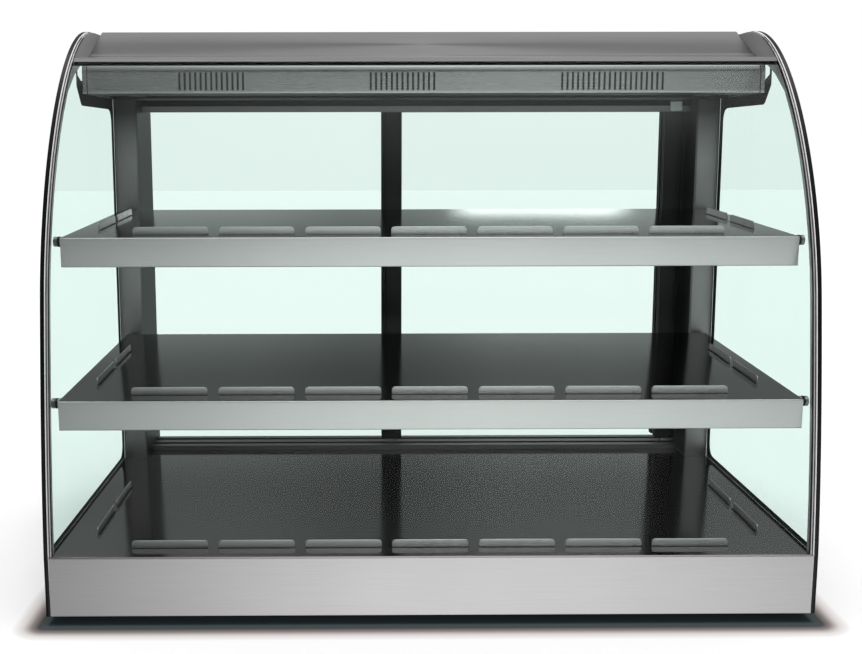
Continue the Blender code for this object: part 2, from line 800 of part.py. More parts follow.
def heating_element():
    """Sheathed element bent in three hairpins and clamped under the deck."""
    radius = 0.004
    height = DECK_Z - SHEET - GAP - radius
    half, bend = 0.330, 0.045
    first = 0.090
    points = []
    for run in range(4):
        sign = 1 if run % 2 == 0 else -1
        behind = first + 2 * bend * run
        points.append((-sign * half, behind))
        points.append((sign * half, behind))
        if run < 3:
            for step in range(1, 8):
                turn = math.pi * (step / 8 - 0.5)
                points.append((
                    sign * (half + bend * math.cos(turn)), behind + bend + bend * math.sin(turn)
                ))
    wire = bpy.data.curves.new("deck_heating_element", "CURVE")
    wire.dimensions = "3D"
    wire.bevel_depth = radius
    wire.bevel_resolution = 2
    wire.use_fill_caps = True
    spline = wire.splines.new("POLY")
    spline.points.add(len(points) - 1)
    for point, (x, behind) in zip(spline.points, points):
        point.co = (x, y_at(behind), height, 1.0)
    wire.materials.append(SHEATH)
    PARTS.objects.link(bpy.data.objects.new("deck_heating_element", wire))


def thermostat():
    """Thermostat body with its shaft, and the knob on it."""
    inner = y_at(PANEL_REAR) - SHEET - GAP
    body = block(
        "thermostat_body", (KNOB_X - 0.018, inner - 0.032, CONTROL_Z - 0.018),
        (KNOB_X + 0.018, inner, CONTROL_Z + 0.018), BLACK_PLASTIC,
    )
    shaft = rod(
        "thermostat_shaft", (KNOB_X, inner + 0.003, CONTROL_Z), "Y", 0.003, 0.016, STEEL, CUTTERS
    )
    boolean(body, shaft, "UNION")
    bore = 0.0035
    profile = [
        (bore, 0.0125), (0.011, 0.0125), (0.013, 0.0115), (0.0145, 0.006), (0.019, 0.004),
        (0.019, 0.0), (bore, 0.0), (bore, 0.0125),
    ]
    turned(
        "thermostat_knob", profile, (KNOB_X, y_at(PANEL_REAR) + 0.001, CONTROL_Z), "Y", BLACK_PLASTIC
    )


def switch(label, x):
    """Rocker switch: a flanged body in the panel and a rocker that tilts in it."""
    face = y_at(PANEL_REAR)
    body = block(
        f"{label}_switch_body", (x - 0.0095, face - 0.022, CONTROL_Z - 0.0125),
        (x + 0.0095, face + GAP, CONTROL_Z + 0.0125), BLACK_PLASTIC,
    )
    flange = block(
        f"{label}_switch_flange", (x - 0.0125, face + GAP / 2, CONTROL_Z - 0.0155),
        (x + 0.0125, face + 0.0020, CONTROL_Z + 0.0155), BLACK_PLASTIC, CUTTERS,
    )
    well = block(
        f"{label}_switch_well", (x - 0.0070, face - 0.0060, CONTROL_Z - 0.0105),
        (x + 0.0070, face + 0.0050, CONTROL_Z + 0.0105), BLACK_PLASTIC, CUTTERS,
    )
    boolean(body, flange, "UNION")
    boolean(body, well, "DIFFERENCE")
    rocker = block(
        f"{label}_switch_rocker", (-0.0065, -0.0025, -0.0092), (0.0065, 0.0050, 0.0092), RED_PLASTIC
    )
    rocker.matrix_world = (
        Matrix.Translation((x, face - 0.0015, CONTROL_Z)) @ Matrix.Rotation(ROCKER_TILT, 4, "X")
    )


def electrics():
    """Everything electrical in the base and on its rear panel."""
    heating_element()
    thermostat()
    for label, x in SWITCH_XS.items():
        switch(label, x)
    lens = [
        (0.0, 0.0065), (0.0040, 0.0060), (0.0068, 0.0040), (0.0075, 0.0010), (0.0075, 0.0004),
        (0.0056, 0.0004), (0.0056, -0.0140), (0.0, -0.0140),
    ]
    turned("pilot_lamp", lens, (PILOT_X, y_at(PANEL_REAR), CONTROL_Z), "Y", AMBER_PLASTIC)
    power_inlet()
    low = FOOT_HEIGHT + SHEET + GAP
    strip = block(
        "terminal_block", (0.205, y_at(0.430), low), (0.260, y_at(0.452), low + 0.018), CERAMIC
    )
    bm = bmesh.new()
    for index in range(TERMINALS):
        x = 0.2125 + TERMINAL_PITCH * index
        place = Matrix.Translation((x, y_at(0.441), low + 0.014))
        bmesh.ops.create_cone(
            bm, cap_ends=True, segments=12, radius1=0.003, radius2=0.003, depth=0.012, matrix=place
        )
    boolean(strip, finish_mesh("terminal_bores", bm, CERAMIC, CUTTERS), "DIFFERENCE")


def power_inlet():
    """Recessed three-pin power inlet with a screw flange."""
    face = y_at(PANEL_REAR)
    body = block(
        "power_inlet", (INLET_X - 0.0136, face - 0.024, CONTROL_Z - 0.0106),
        (INLET_X + 0.0136, face + GAP, CONTROL_Z + 0.0106), BLACK_PLASTIC,
    )
    flange = block(
        "inlet_flange", (INLET_X - 0.025, face + GAP / 2, CONTROL_Z - 0.0135),
        (INLET_X + 0.025, face + 0.0025, CONTROL_Z + 0.0135), BLACK_PLASTIC, CUTTERS,
    )
    well = block(
        "inlet_well", (INLET_X - 0.0120, face - 0.0170, CONTROL_Z - 0.0085),
        (INLET_X + 0.0120, face + 0.0050, CONTROL_Z + 0.0085), BLACK_PLASTIC, CUTTERS,
    )
    bm = bmesh.new()
    for x, lift in ((-0.007, -0.001), (0.0, 0.003), (0.007, -0.001)):
        box_in(
            bm, (INLET_X + x - 0.001, face - 0.0180, CONTROL_Z + lift - 0.002),
            (INLET_X + x + 0.001, face - 0.0030, CONTROL_Z + lift + 0.002),
        )
    pins = finish_mesh("inlet_pins", bm, STEEL, CUTTERS)
    boolean(body, flange, "UNION")
    boolean(body, well, "DIFFERENCE")
    boolean(body, pins, "UNION")


base()
deck()
for shelf_level in SHELVES:
    shelf(shelf_level)
side_walls()
front_glass()
canopy()
roof()
tracks()
for door_side in DOOR_PLANES:
    door(door_side)
electrics()
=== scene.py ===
"""Looks of a countertop hot food display case: curved glass front, glass sides, two tilted
shelves over a heated deck, a lamp canopy and sliding rear doors.

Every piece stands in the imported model's own frame: X along the width, Y from the front
glass (-Y) to the rear doors (+Y), Z up from the surface it stands on, all in metres.
"""
import logging
import math
from dataclasses import dataclass, field
from enum import Enum

import bmesh
import bpy
from mathutils import Matrix, Vector


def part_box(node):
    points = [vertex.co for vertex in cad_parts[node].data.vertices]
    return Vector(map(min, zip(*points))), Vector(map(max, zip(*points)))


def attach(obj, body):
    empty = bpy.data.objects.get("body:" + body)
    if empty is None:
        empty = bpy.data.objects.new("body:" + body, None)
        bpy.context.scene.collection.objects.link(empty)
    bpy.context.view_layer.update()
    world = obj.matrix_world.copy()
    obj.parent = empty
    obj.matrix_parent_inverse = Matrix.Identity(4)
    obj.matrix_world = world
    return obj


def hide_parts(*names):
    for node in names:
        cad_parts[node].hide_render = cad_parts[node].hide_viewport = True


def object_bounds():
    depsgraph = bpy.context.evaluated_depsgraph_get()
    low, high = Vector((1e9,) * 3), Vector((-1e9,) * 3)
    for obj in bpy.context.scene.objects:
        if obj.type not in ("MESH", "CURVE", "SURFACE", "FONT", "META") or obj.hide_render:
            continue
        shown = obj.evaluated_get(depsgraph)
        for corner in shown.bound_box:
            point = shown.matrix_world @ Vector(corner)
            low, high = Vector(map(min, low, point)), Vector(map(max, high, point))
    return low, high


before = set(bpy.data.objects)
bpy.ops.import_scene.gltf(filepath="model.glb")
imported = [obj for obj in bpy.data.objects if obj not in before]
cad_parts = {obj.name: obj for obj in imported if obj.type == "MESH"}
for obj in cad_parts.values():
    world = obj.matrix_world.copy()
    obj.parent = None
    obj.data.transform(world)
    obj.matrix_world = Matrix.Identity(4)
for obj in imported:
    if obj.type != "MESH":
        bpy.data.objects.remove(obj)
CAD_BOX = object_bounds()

LOG = logging.getLogger("display_case")
MM = 0.001
Point = tuple[float, float]
Triple = tuple[float, float, float]
Tree = bpy.types.NodeTree
Socket = bpy.types.NodeSocket
Mesh = bmesh.types.BMesh
Piece = bpy.types.Object
Colour = tuple[float, float, float, float]
Stops = list[tuple[float, float | Colour]]
RAMP = "ShaderNodeValToRGB"
PRINCIPLED = "ShaderNodeBsdfPrincipled"
NOISE = "ShaderNodeTexNoise"
MATHS = "ShaderNodeMath"
VECTOR_MATHS = "ShaderNodeVectorMath"
RANGE = "ShaderNodeMapRange"
SIDES = (("left", -1), ("right", 1))


# ---- Colour and node helpers ---------------------------------------------------------------

def linear(colour: str) -> Colour:
    """Turn an sRGB hex colour such as "8a8a8a" into linear RGBA."""
    parts = [int(colour[at:at + 2], 16) / 255 for at in (0, 2, 4)]
    red, green, blue = (c / 12.92 if c <= 0.04045 else ((c + 0.055) / 1.055) ** 2.4 for c in parts)
    return (red, green, blue, 1.0)


def dimmed(colour: Colour, share: float) -> Colour:
    """The linear colour brought down to a share of its brightness."""
    return (*(part * share for part in colour[:3]), 1.0)


def add_node(
    tree: Tree, kind: str, sockets: dict | None = None, stops: Stops | None = None, **settings,
) -> bpy.types.Node:
    """Add one node with its settings and links.

    Args:
        tree: the node tree that gets the node.
        kind: Blender's identifier of the node type.
        sockets: input name or index, with a plain value or the output socket to link from.
        stops: a colour ramp's stops, each a position with a grey level or a linear colour.
        settings: properties of the node itself.

    Returns:
        The new node.
    """
    node = tree.nodes.new(kind)
    for key, value in settings.items():
        setattr(node, key, value)
    if stops:
        elements = node.color_ramp.elements
        while len(elements) < len(stops):
            elements.new(0.5)
        for element, (position, level) in zip(elements, stops):
            element.position = position
            element.color = level if isinstance(level, tuple) else (level, level, level, 1.0)
    for key, value in (sockets or {}).items():
        if isinstance(value, Socket):
            tree.links.new(value, node.inputs[key])
        else:
            node.inputs[key].default_value = value
    return node


class Grain(Enum):
    """Direction in which a sheet was brushed or drawn."""

    ALONG_WIDTH = (0.012, 1.0, 1.0)
    UPRIGHT = (1.0, 1.0, 0.012)


# ---- Finishes --------------------------------------------------------------------------------

@dataclass(frozen=True)
class Finish:
    """A surface finish that turns into one material."""

    name: str
    slot: str

    def shade(self, tree: Tree, spot: Socket) -> Socket:
        """Build the shader and return its output; each finish fills this in."""
        raise NotImplementedError

    def material(self) -> bpy.types.Material:
        """Return the material, made on first use."""
        made = bpy.data.materials.get(self.name)
        if made is None:
            made = bpy.data.materials.new(self.name)
            made.use_nodes = True
            made.node_tree.nodes.clear()
            spot = add_node(made.node_tree, "ShaderNodeTexCoord").outputs["Object"]
            surface = self.shade(made.node_tree, spot)
            add_node(made.node_tree, "ShaderNodeOutputMaterial", {"Surface": surface})
        return made


@dataclass(frozen=True)
class BrushedSteel(Finish):
    """Stainless steel 1.4301 sheet, grit-brushed in one direction.

    Fine parallel scratches spread highlights across the grain, and faint smudges vary the gloss.
    Where a starting height is given, painted shade darkens the sheet upwards from it, standing for the
    canopy's shade.
    """

    colour: str = "c9c8c6"
    roughness: float = 0.30
    grain: Grain = Grain.ALONG_WIDTH
    scratch_mm: float = 0.9
    scratch_depth: float = 0.10
    smudge: float = 0.06
    anisotropic: float = 0.55
    shade_start_height: float | None = None
    shade_span_height: float = 0.07

    def shade(self, tree: Tree, spot: Socket) -> Socket:
        """Scratches drive colour, roughness and bump; a slow noise stands for hand smudges."""
        stretch = add_node(tree, "ShaderNodeMapping", {"Vector": spot, "Scale": self.grain.value}).outputs[0]
        fine = {"Vector": stretch, "Scale": 1 / (self.scratch_mm * MM), "Detail": 3.0, "Roughness": 0.7}
        scratches = add_node(tree, NOISE, fine).outputs["Fac"]
        clouds = add_node(tree, NOISE, {"Vector": spot, "Scale": 9.0, "Detail": 4.0}).outputs["Fac"]
        base = linear(self.colour)
        tone = add_node(tree, RAMP, {"Fac": scratches}, [(0.25, dimmed(base, 0.90)), (0.75, base)]).outputs[0]
        if self.shade_start_height is not None:
            tone = self.painted_canopy_shade(tree, spot, tone)
        sockets = {0: scratches, 1: self.smudge, 2: self.roughness}
        spread = add_node(tree, MATHS, sockets, operation="MULTIPLY_ADD").outputs[0]
        sockets = {0: clouds, 1: self.smudge, 2: spread}
        gloss = add_node(tree, MATHS, sockets, operation="MULTIPLY_ADD").outputs[0]
        cut = {"Height": scratches, "Strength": self.scratch_depth, "Distance": 0.05 * MM}
        relief = add_node(tree, "ShaderNodeBump", cut).outputs[0]
        tangent = add_node(tree, "ShaderNodeTangent", direction_type="RADIAL", axis="Z").outputs[0]
        turn = 0.0 if self.grain is Grain.UPRIGHT else 0.25
        return add_node(
            tree, PRINCIPLED,
            {"Base Color": tone, "Metallic": 1.0, "Roughness": gloss, "Normal": relief,
             "Anisotropic": self.anisotropic, "Anisotropic Rotation": turn, "Tangent": tangent},
        ).outputs[0]

    def painted_canopy_shade(
        self, tree: Tree, spot: Socket, tone: Socket,
    ) -> Socket:
        """Darken the sheet upwards with painted shade, for the shade that the canopy casts.

        Args:
            tree: the material's node tree.
            spot: place on the object.
            tone: colour of the clean sheet.

        Returns:
            The colour darkened by the painted shade.
        """
        # painted shade: the sheet darkens upwards over the given span, towards the canopy
        height = add_node(tree, "ShaderNodeSeparateXYZ", {"Vector": spot}).outputs["Z"]
        low = self.shade_start_height
        span = {"Value": height, "From Min": low, "From Max": low + self.shade_span_height}
        upward = add_node(tree, RANGE, span).outputs[0]
        shade_tone = add_node(tree, RAMP, {"Fac": upward}, [(0.0, 1.0), (0.5, 0.7), (1.0, 0.18)]).outputs[0]
        sockets = {"Factor": 1.0, 6: tone, 7: shade_tone}
        return add_node(tree, "ShaderNodeMix", sockets, data_type="RGBA", blend_type="MULTIPLY").outputs[2]


@dataclass(frozen=True)
class GalvanisedSteel(Finish):
    """Hot-dip galvanised sheet: flat grey with leaf-shaped zinc spangle."""

    colour: str = "9a9c9e"
    spangle_mm: float = 9.0

    def shade(self, tree: Tree, spot: Socket) -> Socket:
        """Cells of zinc spangle differ a little in tone and gloss."""
        size = {"Vector": spot, "Scale": 1 / (self.spangle_mm * MM)}
        cells = add_node(tree, "ShaderNodeTexVoronoi", size).outputs["Color"]
        level = add_node(tree, "ShaderNodeSeparateColor", {"Color": cells}).outputs[0]
        base = linear(self.colour)
        tone = add_node(tree, RAMP, {"Fac": level}, [(0.0, dimmed(base, 0.8)), (1.0, base)]).outputs[0]
        gloss = add_node(tree, RANGE, {"Value": level, "To Min": 0.38, "To Max": 0.55}).outputs[0]
        sockets = {"Base Color": tone, "Metallic": 1.0, "Roughness": gloss}
        return add_node(tree, PRINCIPLED, sockets).outputs[0]


@dataclass(frozen=True)
class AnodisedAluminium(Finish):
    """Extruded aluminium, matt etched and anodised: even satin with faint draw lines."""

    colour: str = "b0b0b0"
    roughness: float = 0.38
    metallic: float = 1.0
    grain: Grain = Grain.ALONG_WIDTH
    line_scale: float = 900.0
    etch_scale: float = 2200.0

    def shade(self, tree: Tree, spot: Socket) -> Socket:
        """Die lines run with the extrusion, under the fine tooth of the etch."""
        stretch = add_node(tree, "ShaderNodeMapping", {"Vector": spot, "Scale": self.grain.value}).outputs[0]
        drawn = {"Vector": stretch, "Scale": self.line_scale, "Detail": 2.0}
        lines = add_node(tree, NOISE, drawn).outputs["Fac"]
        etch = add_node(tree, NOISE, {"Vector": spot, "Scale": self.etch_scale, "Detail": 2.0}).outputs["Fac"]
        base = linear(self.colour)
        tone = add_node(tree, RAMP, {"Fac": lines}, [(0.3, dimmed(base, 0.86)), (0.7, base)]).outputs[0]
        tooth = {"Height": etch, "Strength": 0.12, "Distance": 0.04 * MM}
        relief = add_node(tree, "ShaderNodeBump", tooth).outputs[0]
        return add_node(
            tree, PRINCIPLED,
            {"Base Color": tone, "Metallic": self.metallic, "Roughness": self.roughness, "Normal": relief},
        ).outputs[0]


@dataclass(frozen=True)
class Moulded(Finish):
    """Injection-moulded plastic or rubber with a spark-eroded or plain mould texture."""

    colour: str = "141414"
    roughness: float = 0.45
    texture_mm: float = 0.5
    depth: float = 0.25
    coat: float = 0.0
    translucent: float = 0.0
    wear: float = 0.12

    def shade(self, tree: Tree, spot: Socket) -> Socket:
        """Mould texture as bump, with handling marks in the gloss."""
        pitted = {"Vector": spot, "Scale": 1 / (self.texture_mm * MM), "Detail": 2.0}
        pits = add_node(tree, NOISE, pitted).outputs["Fac"]
        marks = add_node(tree, NOISE, {"Vector": spot, "Scale": 60.0, "Detail": 3.0}).outputs["Fac"]
        base = linear(self.colour)
        tone = add_node(tree, RAMP, {"Fac": marks}, [(0.3, dimmed(base, 0.85)), (0.8, base)]).outputs[0]
        worn = {0: marks, 1: self.wear, 2: self.roughness - self.wear / 2}
        gloss = add_node(tree, MATHS, worn, operation="MULTIPLY_ADD").outputs[0]
        texture = {"Height": pits, "Strength": self.depth, "Distance": 0.08 * MM}
        relief = add_node(tree, "ShaderNodeBump", texture).outputs[0]
        return add_node(
            tree, PRINCIPLED,
            {"Base Color": tone, "Roughness": gloss, "Normal": relief, "Coat Weight": self.coat,
             "Subsurface Weight": self.translucent, "Subsurface Radius": (0.003, 0.002, 0.001)},
        ).outputs[0]


@dataclass(frozen=True)
class Glass(Finish):
    """Toughened float glass seen as a thin pane: tinted, with a clean polished reflection.

    The tint is what one face takes from the light, so a pane takes it twice. gloss is the
    share of the full reflection that is kept, and most is its limit at grazing angles.
    """

    tint: str = "fdfffe"
    gloss: float = 0.3
    most: float = 0.05

    def shade(self, tree: Tree, spot: Socket) -> Socket:
        """Clear transparency under a reflection that grows at grazing angles.

        The tint counts once, on the way to the eye, so that what stands behind keeps its tone.
        """
        direct = add_node(tree, "ShaderNodeLightPath").outputs["Is Camera Ray"]
        tints = {"Factor": direct, 6: (1.0, 1.0, 1.0, 1.0), 7: linear(self.tint)}
        tone = add_node(tree, "ShaderNodeMix", tints, data_type="RGBA").outputs[2]
        clear = add_node(tree, "ShaderNodeBsdfTransparent", {"Color": tone}).outputs[0]
        mirror = add_node(tree, "ShaderNodeBsdfGlossy", {"Roughness": 0.0}, distribution="GGX").outputs[0]
        grazing = add_node(tree, "ShaderNodeFresnel", {"IOR": 1.45}).outputs[0]
        share = add_node(tree, MATHS, {0: grazing, 1: self.gloss}, operation="MULTIPLY").outputs[0]
        weight = add_node(tree, MATHS, {0: share, 1: self.most}, operation="MINIMUM").outputs[0]
        return add_node(tree, "ShaderNodeMixShader", {0: weight, 1: clear, 2: mirror}).outputs[0]


@dataclass(frozen=True)
class GlassEdge(Finish):
    """Ground and polished edge of float glass: near black with a green glint."""

    colour: str = "0b100e"

    def shade(self, tree: Tree, spot: Socket) -> Socket:
        """Dark body under a glossy surface, with the fine ripple that grinding leaves."""
        ripple = add_node(tree, NOISE, {"Vector": spot, "Scale": 350.0, "Detail": 2.0}).outputs["Fac"]
        base = linear(self.colour)
        tone = add_node(tree, RAMP, {"Fac": ripple}, [(0.3, dimmed(base, 0.6)), (0.7, base)]).outputs[0]
        sockets = {"Base Color": tone, "Roughness": 0.25, "Specular IOR Level": 0.25}
        return add_node(tree, PRINCIPLED, sockets).outputs[0]


# Base and canopy skins: No. 4 brushed stainless, grain along the width, satin streaks
FASCIA_STEEL = BrushedSteel("brushed_stainless_fascia", "brushed_steel", "d6d5d5", 0.32)
# Hood: the same sheet polished once more, so its nose carries a clear highlight; its colour is set darker
# than the fascia's as painted shade on the hood's face
HOOD_STEEL = BrushedSteel(
    "brushed_stainless_hood", "brushed_steel", "bab6b7", 0.24, scratch_mm=3.0, scratch_depth=0.0,
    smudge=0.03, anisotropic=0.0,
)
# Underside and reflector: the hood's steel made nearly black and dull, painted shade for faces that look down
UNDERSIDE_PAINTED_SHADE = BrushedSteel("canopy_underside_painted_shade", "polished_steel", "101010", 0.40, smudge=0.12)
ROOF_STEEL = BrushedSteel("brushed_stainless_roof", "brushed_steel", "9c9c9c", 0.34)
# Posts: grain upright, wiped by hand, and darker towards the canopy with painted shade
POST_STEEL = BrushedSteel(
    "brushed_stainless_post", "brushed_steel", "b6b2b3", 0.30, Grain.UPRIGHT, smudge=0.16, shade_start_height=0.535
)
PANEL_STEEL = BrushedSteel("brushed_stainless_rear_panel", "brushed_steel", "bdbcba", 0.34)
# Pegs, brackets and screws: turned or stamped, with a finer and brighter grain
PIN_STEEL = BrushedSteel("turned_stainless_pin", "brushed_steel", "a2a2a2", 0.28, scratch_mm=0.5)
# Lips of the shelves: the same brushed sheet, a touch brighter as painted light, and tinted warm as painted
# light from the heat lamps
LIP_STEEL = BrushedSteel("brushed_stainless_lip", "polished_steel", "eae2e4", 0.30)
# Fence tabs: sheared and bent, so a little duller than the plate they stand on; tinted warm as painted lamp
# light
TAB_STEEL = BrushedSteel("bent_stainless_tab", "polished_steel", "cdc7c9", 0.22)
# Deck and shelf tops: bright annealed sheet that mirrors what stands on it; tinted warm as painted lamp light
DECK_STEEL = BrushedSteel(
    "bright_annealed_stainless", "polished_steel", "a8a2a3", 0.06, scratch_mm=1.6, scratch_depth=0.03,
    smudge=0.06, anisotropic=0.0,
)
# Pan: hot-dip galvanised, grey with a faint leaf pattern
GALVANISED = GalvanisedSteel("galvanised_pan_sheet", "galvanised_steel")
# Extrusions: etched and anodised, an even satin; the track's darker grey is painted shade and the arches'
# paler grey is painted light
TRACK_ALUMINIUM = AnodisedAluminium("track_aluminium_painted_shade", "anodised_aluminium", "8c8889")
ARCH_ALUMINIUM = AnodisedAluminium("arch_aluminium_painted_light", "anodised_aluminium", "d2d0d1", 0.34, 0.4)
TRIM_ALUMINIUM = AnodisedAluminium("grey_anodised_trim_channel", "anodised_aluminium", "747474", 0.34)
BRIGHT_ALUMINIUM = AnodisedAluminium("bright_anodised_trim", "anodised_aluminium", "d8d8d8", 0.22)
BLACK_ALUMINIUM = AnodisedAluminium(
    "black_anodised_aluminium", "black_aluminium", "101010", 0.45, 0.2, Grain.UPRIGHT
)
# Mouldings: nylon and silicone stay matt, polycarbonate and acrylic shine
BLACK_NYLON = Moulded("black_moulded_nylon", "black_plastic", "121212", 0.42)
SEAL = Moulded("black_silicone_seal", "black_rubber", "0a0a0a", 0.55, 0.8, 0.15)
RUBBER = Moulded("black_foot_rubber", "black_rubber", "101010", 0.8, 0.6, 0.4)
RED_ROCKER = Moulded("red_polycarbonate_rocker", "red_plastic", "a3140f", 0.22, 0.8, 0.05, coat=0.4)
AMBER_LENS = Moulded(
    "amber_acrylic_lens", "amber_plastic", "e08a1c", 0.15, 1.0, 0.03, coat=0.6, translucent=0.3
)
WHITE_NYLON = Moulded("white_nylon_roller", "white_nylon", "dcdcd6", 0.45)
# Fired ceramics: steatite is dry and chalky, the enamel print smooth and black
CERAMIC = Moulded("steatite_ceramic", "white_ceramic", "e4dfd2", 0.55, 0.7, 0.2)
PRINT = Moulded("fired_black_enamel_print", "black_plastic", "060606", 0.5, 1.2, 0.05)
SHEATH = AnodisedAluminium("heat_oxidised_sheath", "heater_sheath", "57524c", 0.5)
MARKING = Moulded("white_dial_print", "black_plastic", "d9d9d9", 0.5, 1.0, 0.02)
# Glass: the front pane is faintly mint where it is looked through, the others clear
FRONT_PANE = Glass("toughened_front_glass", "clear_glass", "eff8f5", 0.12, 0.018)
SIDE_PANE = Glass("toughened_side_glass", "clear_glass", "feffff", 0.15, 0.015)
DOOR_PANE = Glass("toughened_door_glass", "clear_glass", "ffffff", 0.12, 0.01)
QUARTZ = Glass("clear_quartz_tube", "quartz_glass", "f4efe8", 0.8)
GLASS_EDGE = GlassEdge("polished_glass_edge", "clear_glass")


# ---- Shape helpers ---------------------------------------------------------------------------

def y_at(behind: float) -> float:
    """World Y of a place given as the distance behind the front plane."""
    return CAD_BOX[0][1] + behind


def bezier(ends: tuple[Point, Point, Point, Point], steps: int) -> list[Point]:
    """Points along a cubic Bezier curve, both ends included."""
    start, pull_start, pull_end, end = (Vector(point) for point in ends)
    points = []
    for step in range(steps + 1):
        t = step / steps
        s = 1.0 - t
        spot = start * s**3 + pull_start * (3 * s * s * t) + pull_end * (3 * s * t * t) + end * t**3
        points.append((spot.x, spot.y))
    return points


def offset(path: list[Point], distance: float) -> list[Point]:
    """The same open path moved to its right-hand side, with mitred corners."""
    moved = []
    for index, point in enumerate(path):
        here = Vector(point)
        normals = []
        for first, second in ((index - 1, index), (index, index + 1)):
            if first >= 0 and second < len(path):
                heading = (Vector(path[second]) - Vector(path[first])).normalized()
                normals.append(Vector((heading.y, -heading.x)))
        lean = sum(normals, Vector((0.0, 0.0))).normalized()
        reach = distance / max(lean.dot(normals[0]), 0.3)
        moved.append(tuple(here + lean * reach))
    return moved


def rounded(path: list[Point], radius: float, steps: int = 5, closed: bool = False) -> list[Point]:
    """The path with its corners turned into small bends.

    Args:
        path: corner points.
        radius: bend radius, cut down where a leg is too short for it.
        steps: segments in each bend.
        closed: whether the last point joins the first.

    Returns:
        The bent path.
    """
    count = len(path)
    points: list[Point] = []
    for index, point in enumerate(path):
        if not closed and index in (0, count - 1):
            points.append(point)
            continue
        here = Vector(point)
        before = Vector(path[index - 1]) - here
        after = Vector(path[(index + 1) % count]) - here
        turn = before.angle(after)
        if turn > math.radians(175):
            points.append(point)
            continue
        reach = min(radius / math.tan(turn / 2), before.length * 0.49, after.length * 0.49)
        start, end = here + before.normalized() * reach, here + after.normalized() * reach
        for step in range(steps + 1):
            t = step / steps
            spot = start * (1 - t) ** 2 + here * (2 * t * (1 - t)) + end * t**2
            points.append((spot.x, spot.y))
    return points


def keep(name: str, bm: Mesh, *finishes: Finish, angle: float = 35.0) -> Piece:
    """Turn a bmesh into a shaded object.

    Args:
        name: name of the piece.
        bm: the mesh, which is freed.
        finishes: materials, in the order of the faces' indices.
        angle: edges sharper than this many degrees stay crisp.

    Returns:
        The new object.
    """
    bmesh.ops.remove_doubles(bm, verts=bm.verts, dist=1e-7)
    bmesh.ops.recalc_face_normals(bm, faces=bm.faces)
    mesh = bpy.data.meshes.new(name)
    bm.to_mesh(mesh)
    bm.free()
    mesh.shade_smooth()
    mesh.set_sharp_from_angle(angle=math.radians(angle))
    for finish in finishes:
        mesh.materials.append(finish.material())
    made = bpy.data.objects.new(name, mesh)
    bpy.context.scene.collection.objects.link(made)
    return made


def soften(piece: Piece, width: float, segments: int = 2) -> Piece:
    """Break the sharp edges of a piece with a bevel of that width."""
    step = piece.modifiers.new("broken_edges", "BEVEL")
    step.width = width
    step.segments = segments
    step.limit_method = "ANGLE"
    step.angle_limit = math.radians(35)
    step.harden_normals = True
    return piece


def bar_in(bm: Mesh, outline: list[Triple], along: Vector) -> list[bmesh.types.BMFace]:
    """Add a bar: a closed outline swept along a vector, with closed ends.

    Args:
        bm: mesh to add to.
        outline: corner points of one end.
        along: the sweep.

    Returns:
        The side faces, in the outline's order.
    """
    near = [bm.verts.new(point) for point in outline]
    far = [bm.verts.new(Vector(point) + along) for point in outline]
    sides = []
    for index in range(len(near)):
        after = (index + 1) % len(near)
        sides.append(bm.faces.new((near[index], near[after], far[after], far[index])))
    bm.faces.new(list(reversed(near)))
    bm.faces.new(far)
    return sides


def across(section: list[Point], x: float) -> list[Triple]:
    """Place a side section, given as distance behind the front and height, at one X."""
    return [(x, y_at(behind), height) for behind, height in section]


def bar(name: str, section: list[Point], start: float, stop: float, finish: Finish) -> Piece:
    """A bar along the width with a closed side section."""
    bm = bmesh.new()
    bar_in(bm, across(section, start), Vector((stop - start, 0, 0)))
    return keep(name, bm, finish)


def sheet_section(path: list[Point], thickness: float) -> list[Point]:
    """Closed section of a sheet whose outer face follows the path."""
    return path + list(reversed(offset(path, thickness)))


def box_in(bm: Mesh, low: Triple, high: Triple) -> None:
    """Add a box between two corners."""
    corners = ((low[1], low[2]), (high[1], low[2]), (high[1], high[2]), (low[1], high[2]))
    bar_in(bm, [(low[0], y, z) for y, z in corners], Vector((high[0] - low[0], 0, 0)))


def block(name: str, low: Triple, high: Triple, finish: Finish, edge: float) -> Piece:
    """A box between two corners with its edges broken by that width."""
    bm = bmesh.new()
    box_in(bm, low, high)
    return soften(keep(name, bm, finish), edge)


def loft_in(bm: Mesh, rings: list[list[Vector]]) -> None:
    """Join closed rings of points one after the other and close both ends."""
    made = [[bm.verts.new(point) for point in ring] for ring in rings]
    for first, second in zip(made, made[1:]):
        for index in range(len(first)):
            after = (index + 1) % len(first)
            bm.faces.new((first[index], first[after], second[after], second[index]))
    bm.faces.new(list(reversed(made[0])))
    bm.faces.new(made[-1])


def lathe_in(bm: Mesh, profile: list[Point], place: Matrix, steps: int = 32) -> None:
    """Add a turned shape: radius and height pairs spun about the local Z of a placement."""
    turns = [math.tau * step / steps for step in range(steps)]
    loft_in(bm, [
        [place @ Vector((radius * math.cos(turn), radius * math.sin(turn), height)) for turn in turns]
        for radius, height in profile
    ])


def paint(bm: Mesh, start: int, index: int) -> None:
    """Give the faces added since a face count one material index."""
    bm.faces.ensure_lookup_table()
    for face in bm.faces[start:]:
        face.material_index = index


FACING = {
    "front": Matrix.Rotation(math.radians(90), 4, "X"),
    "rear": Matrix.Rotation(math.radians(-90), 4, "X"),
    "right": Matrix.Rotation(math.radians(90), 4, "Y"),
    "left": Matrix.Rotation(math.radians(-90), 4, "Y"),
}


# ---- Sub-assemblies ----------------------------------------------------------------------------

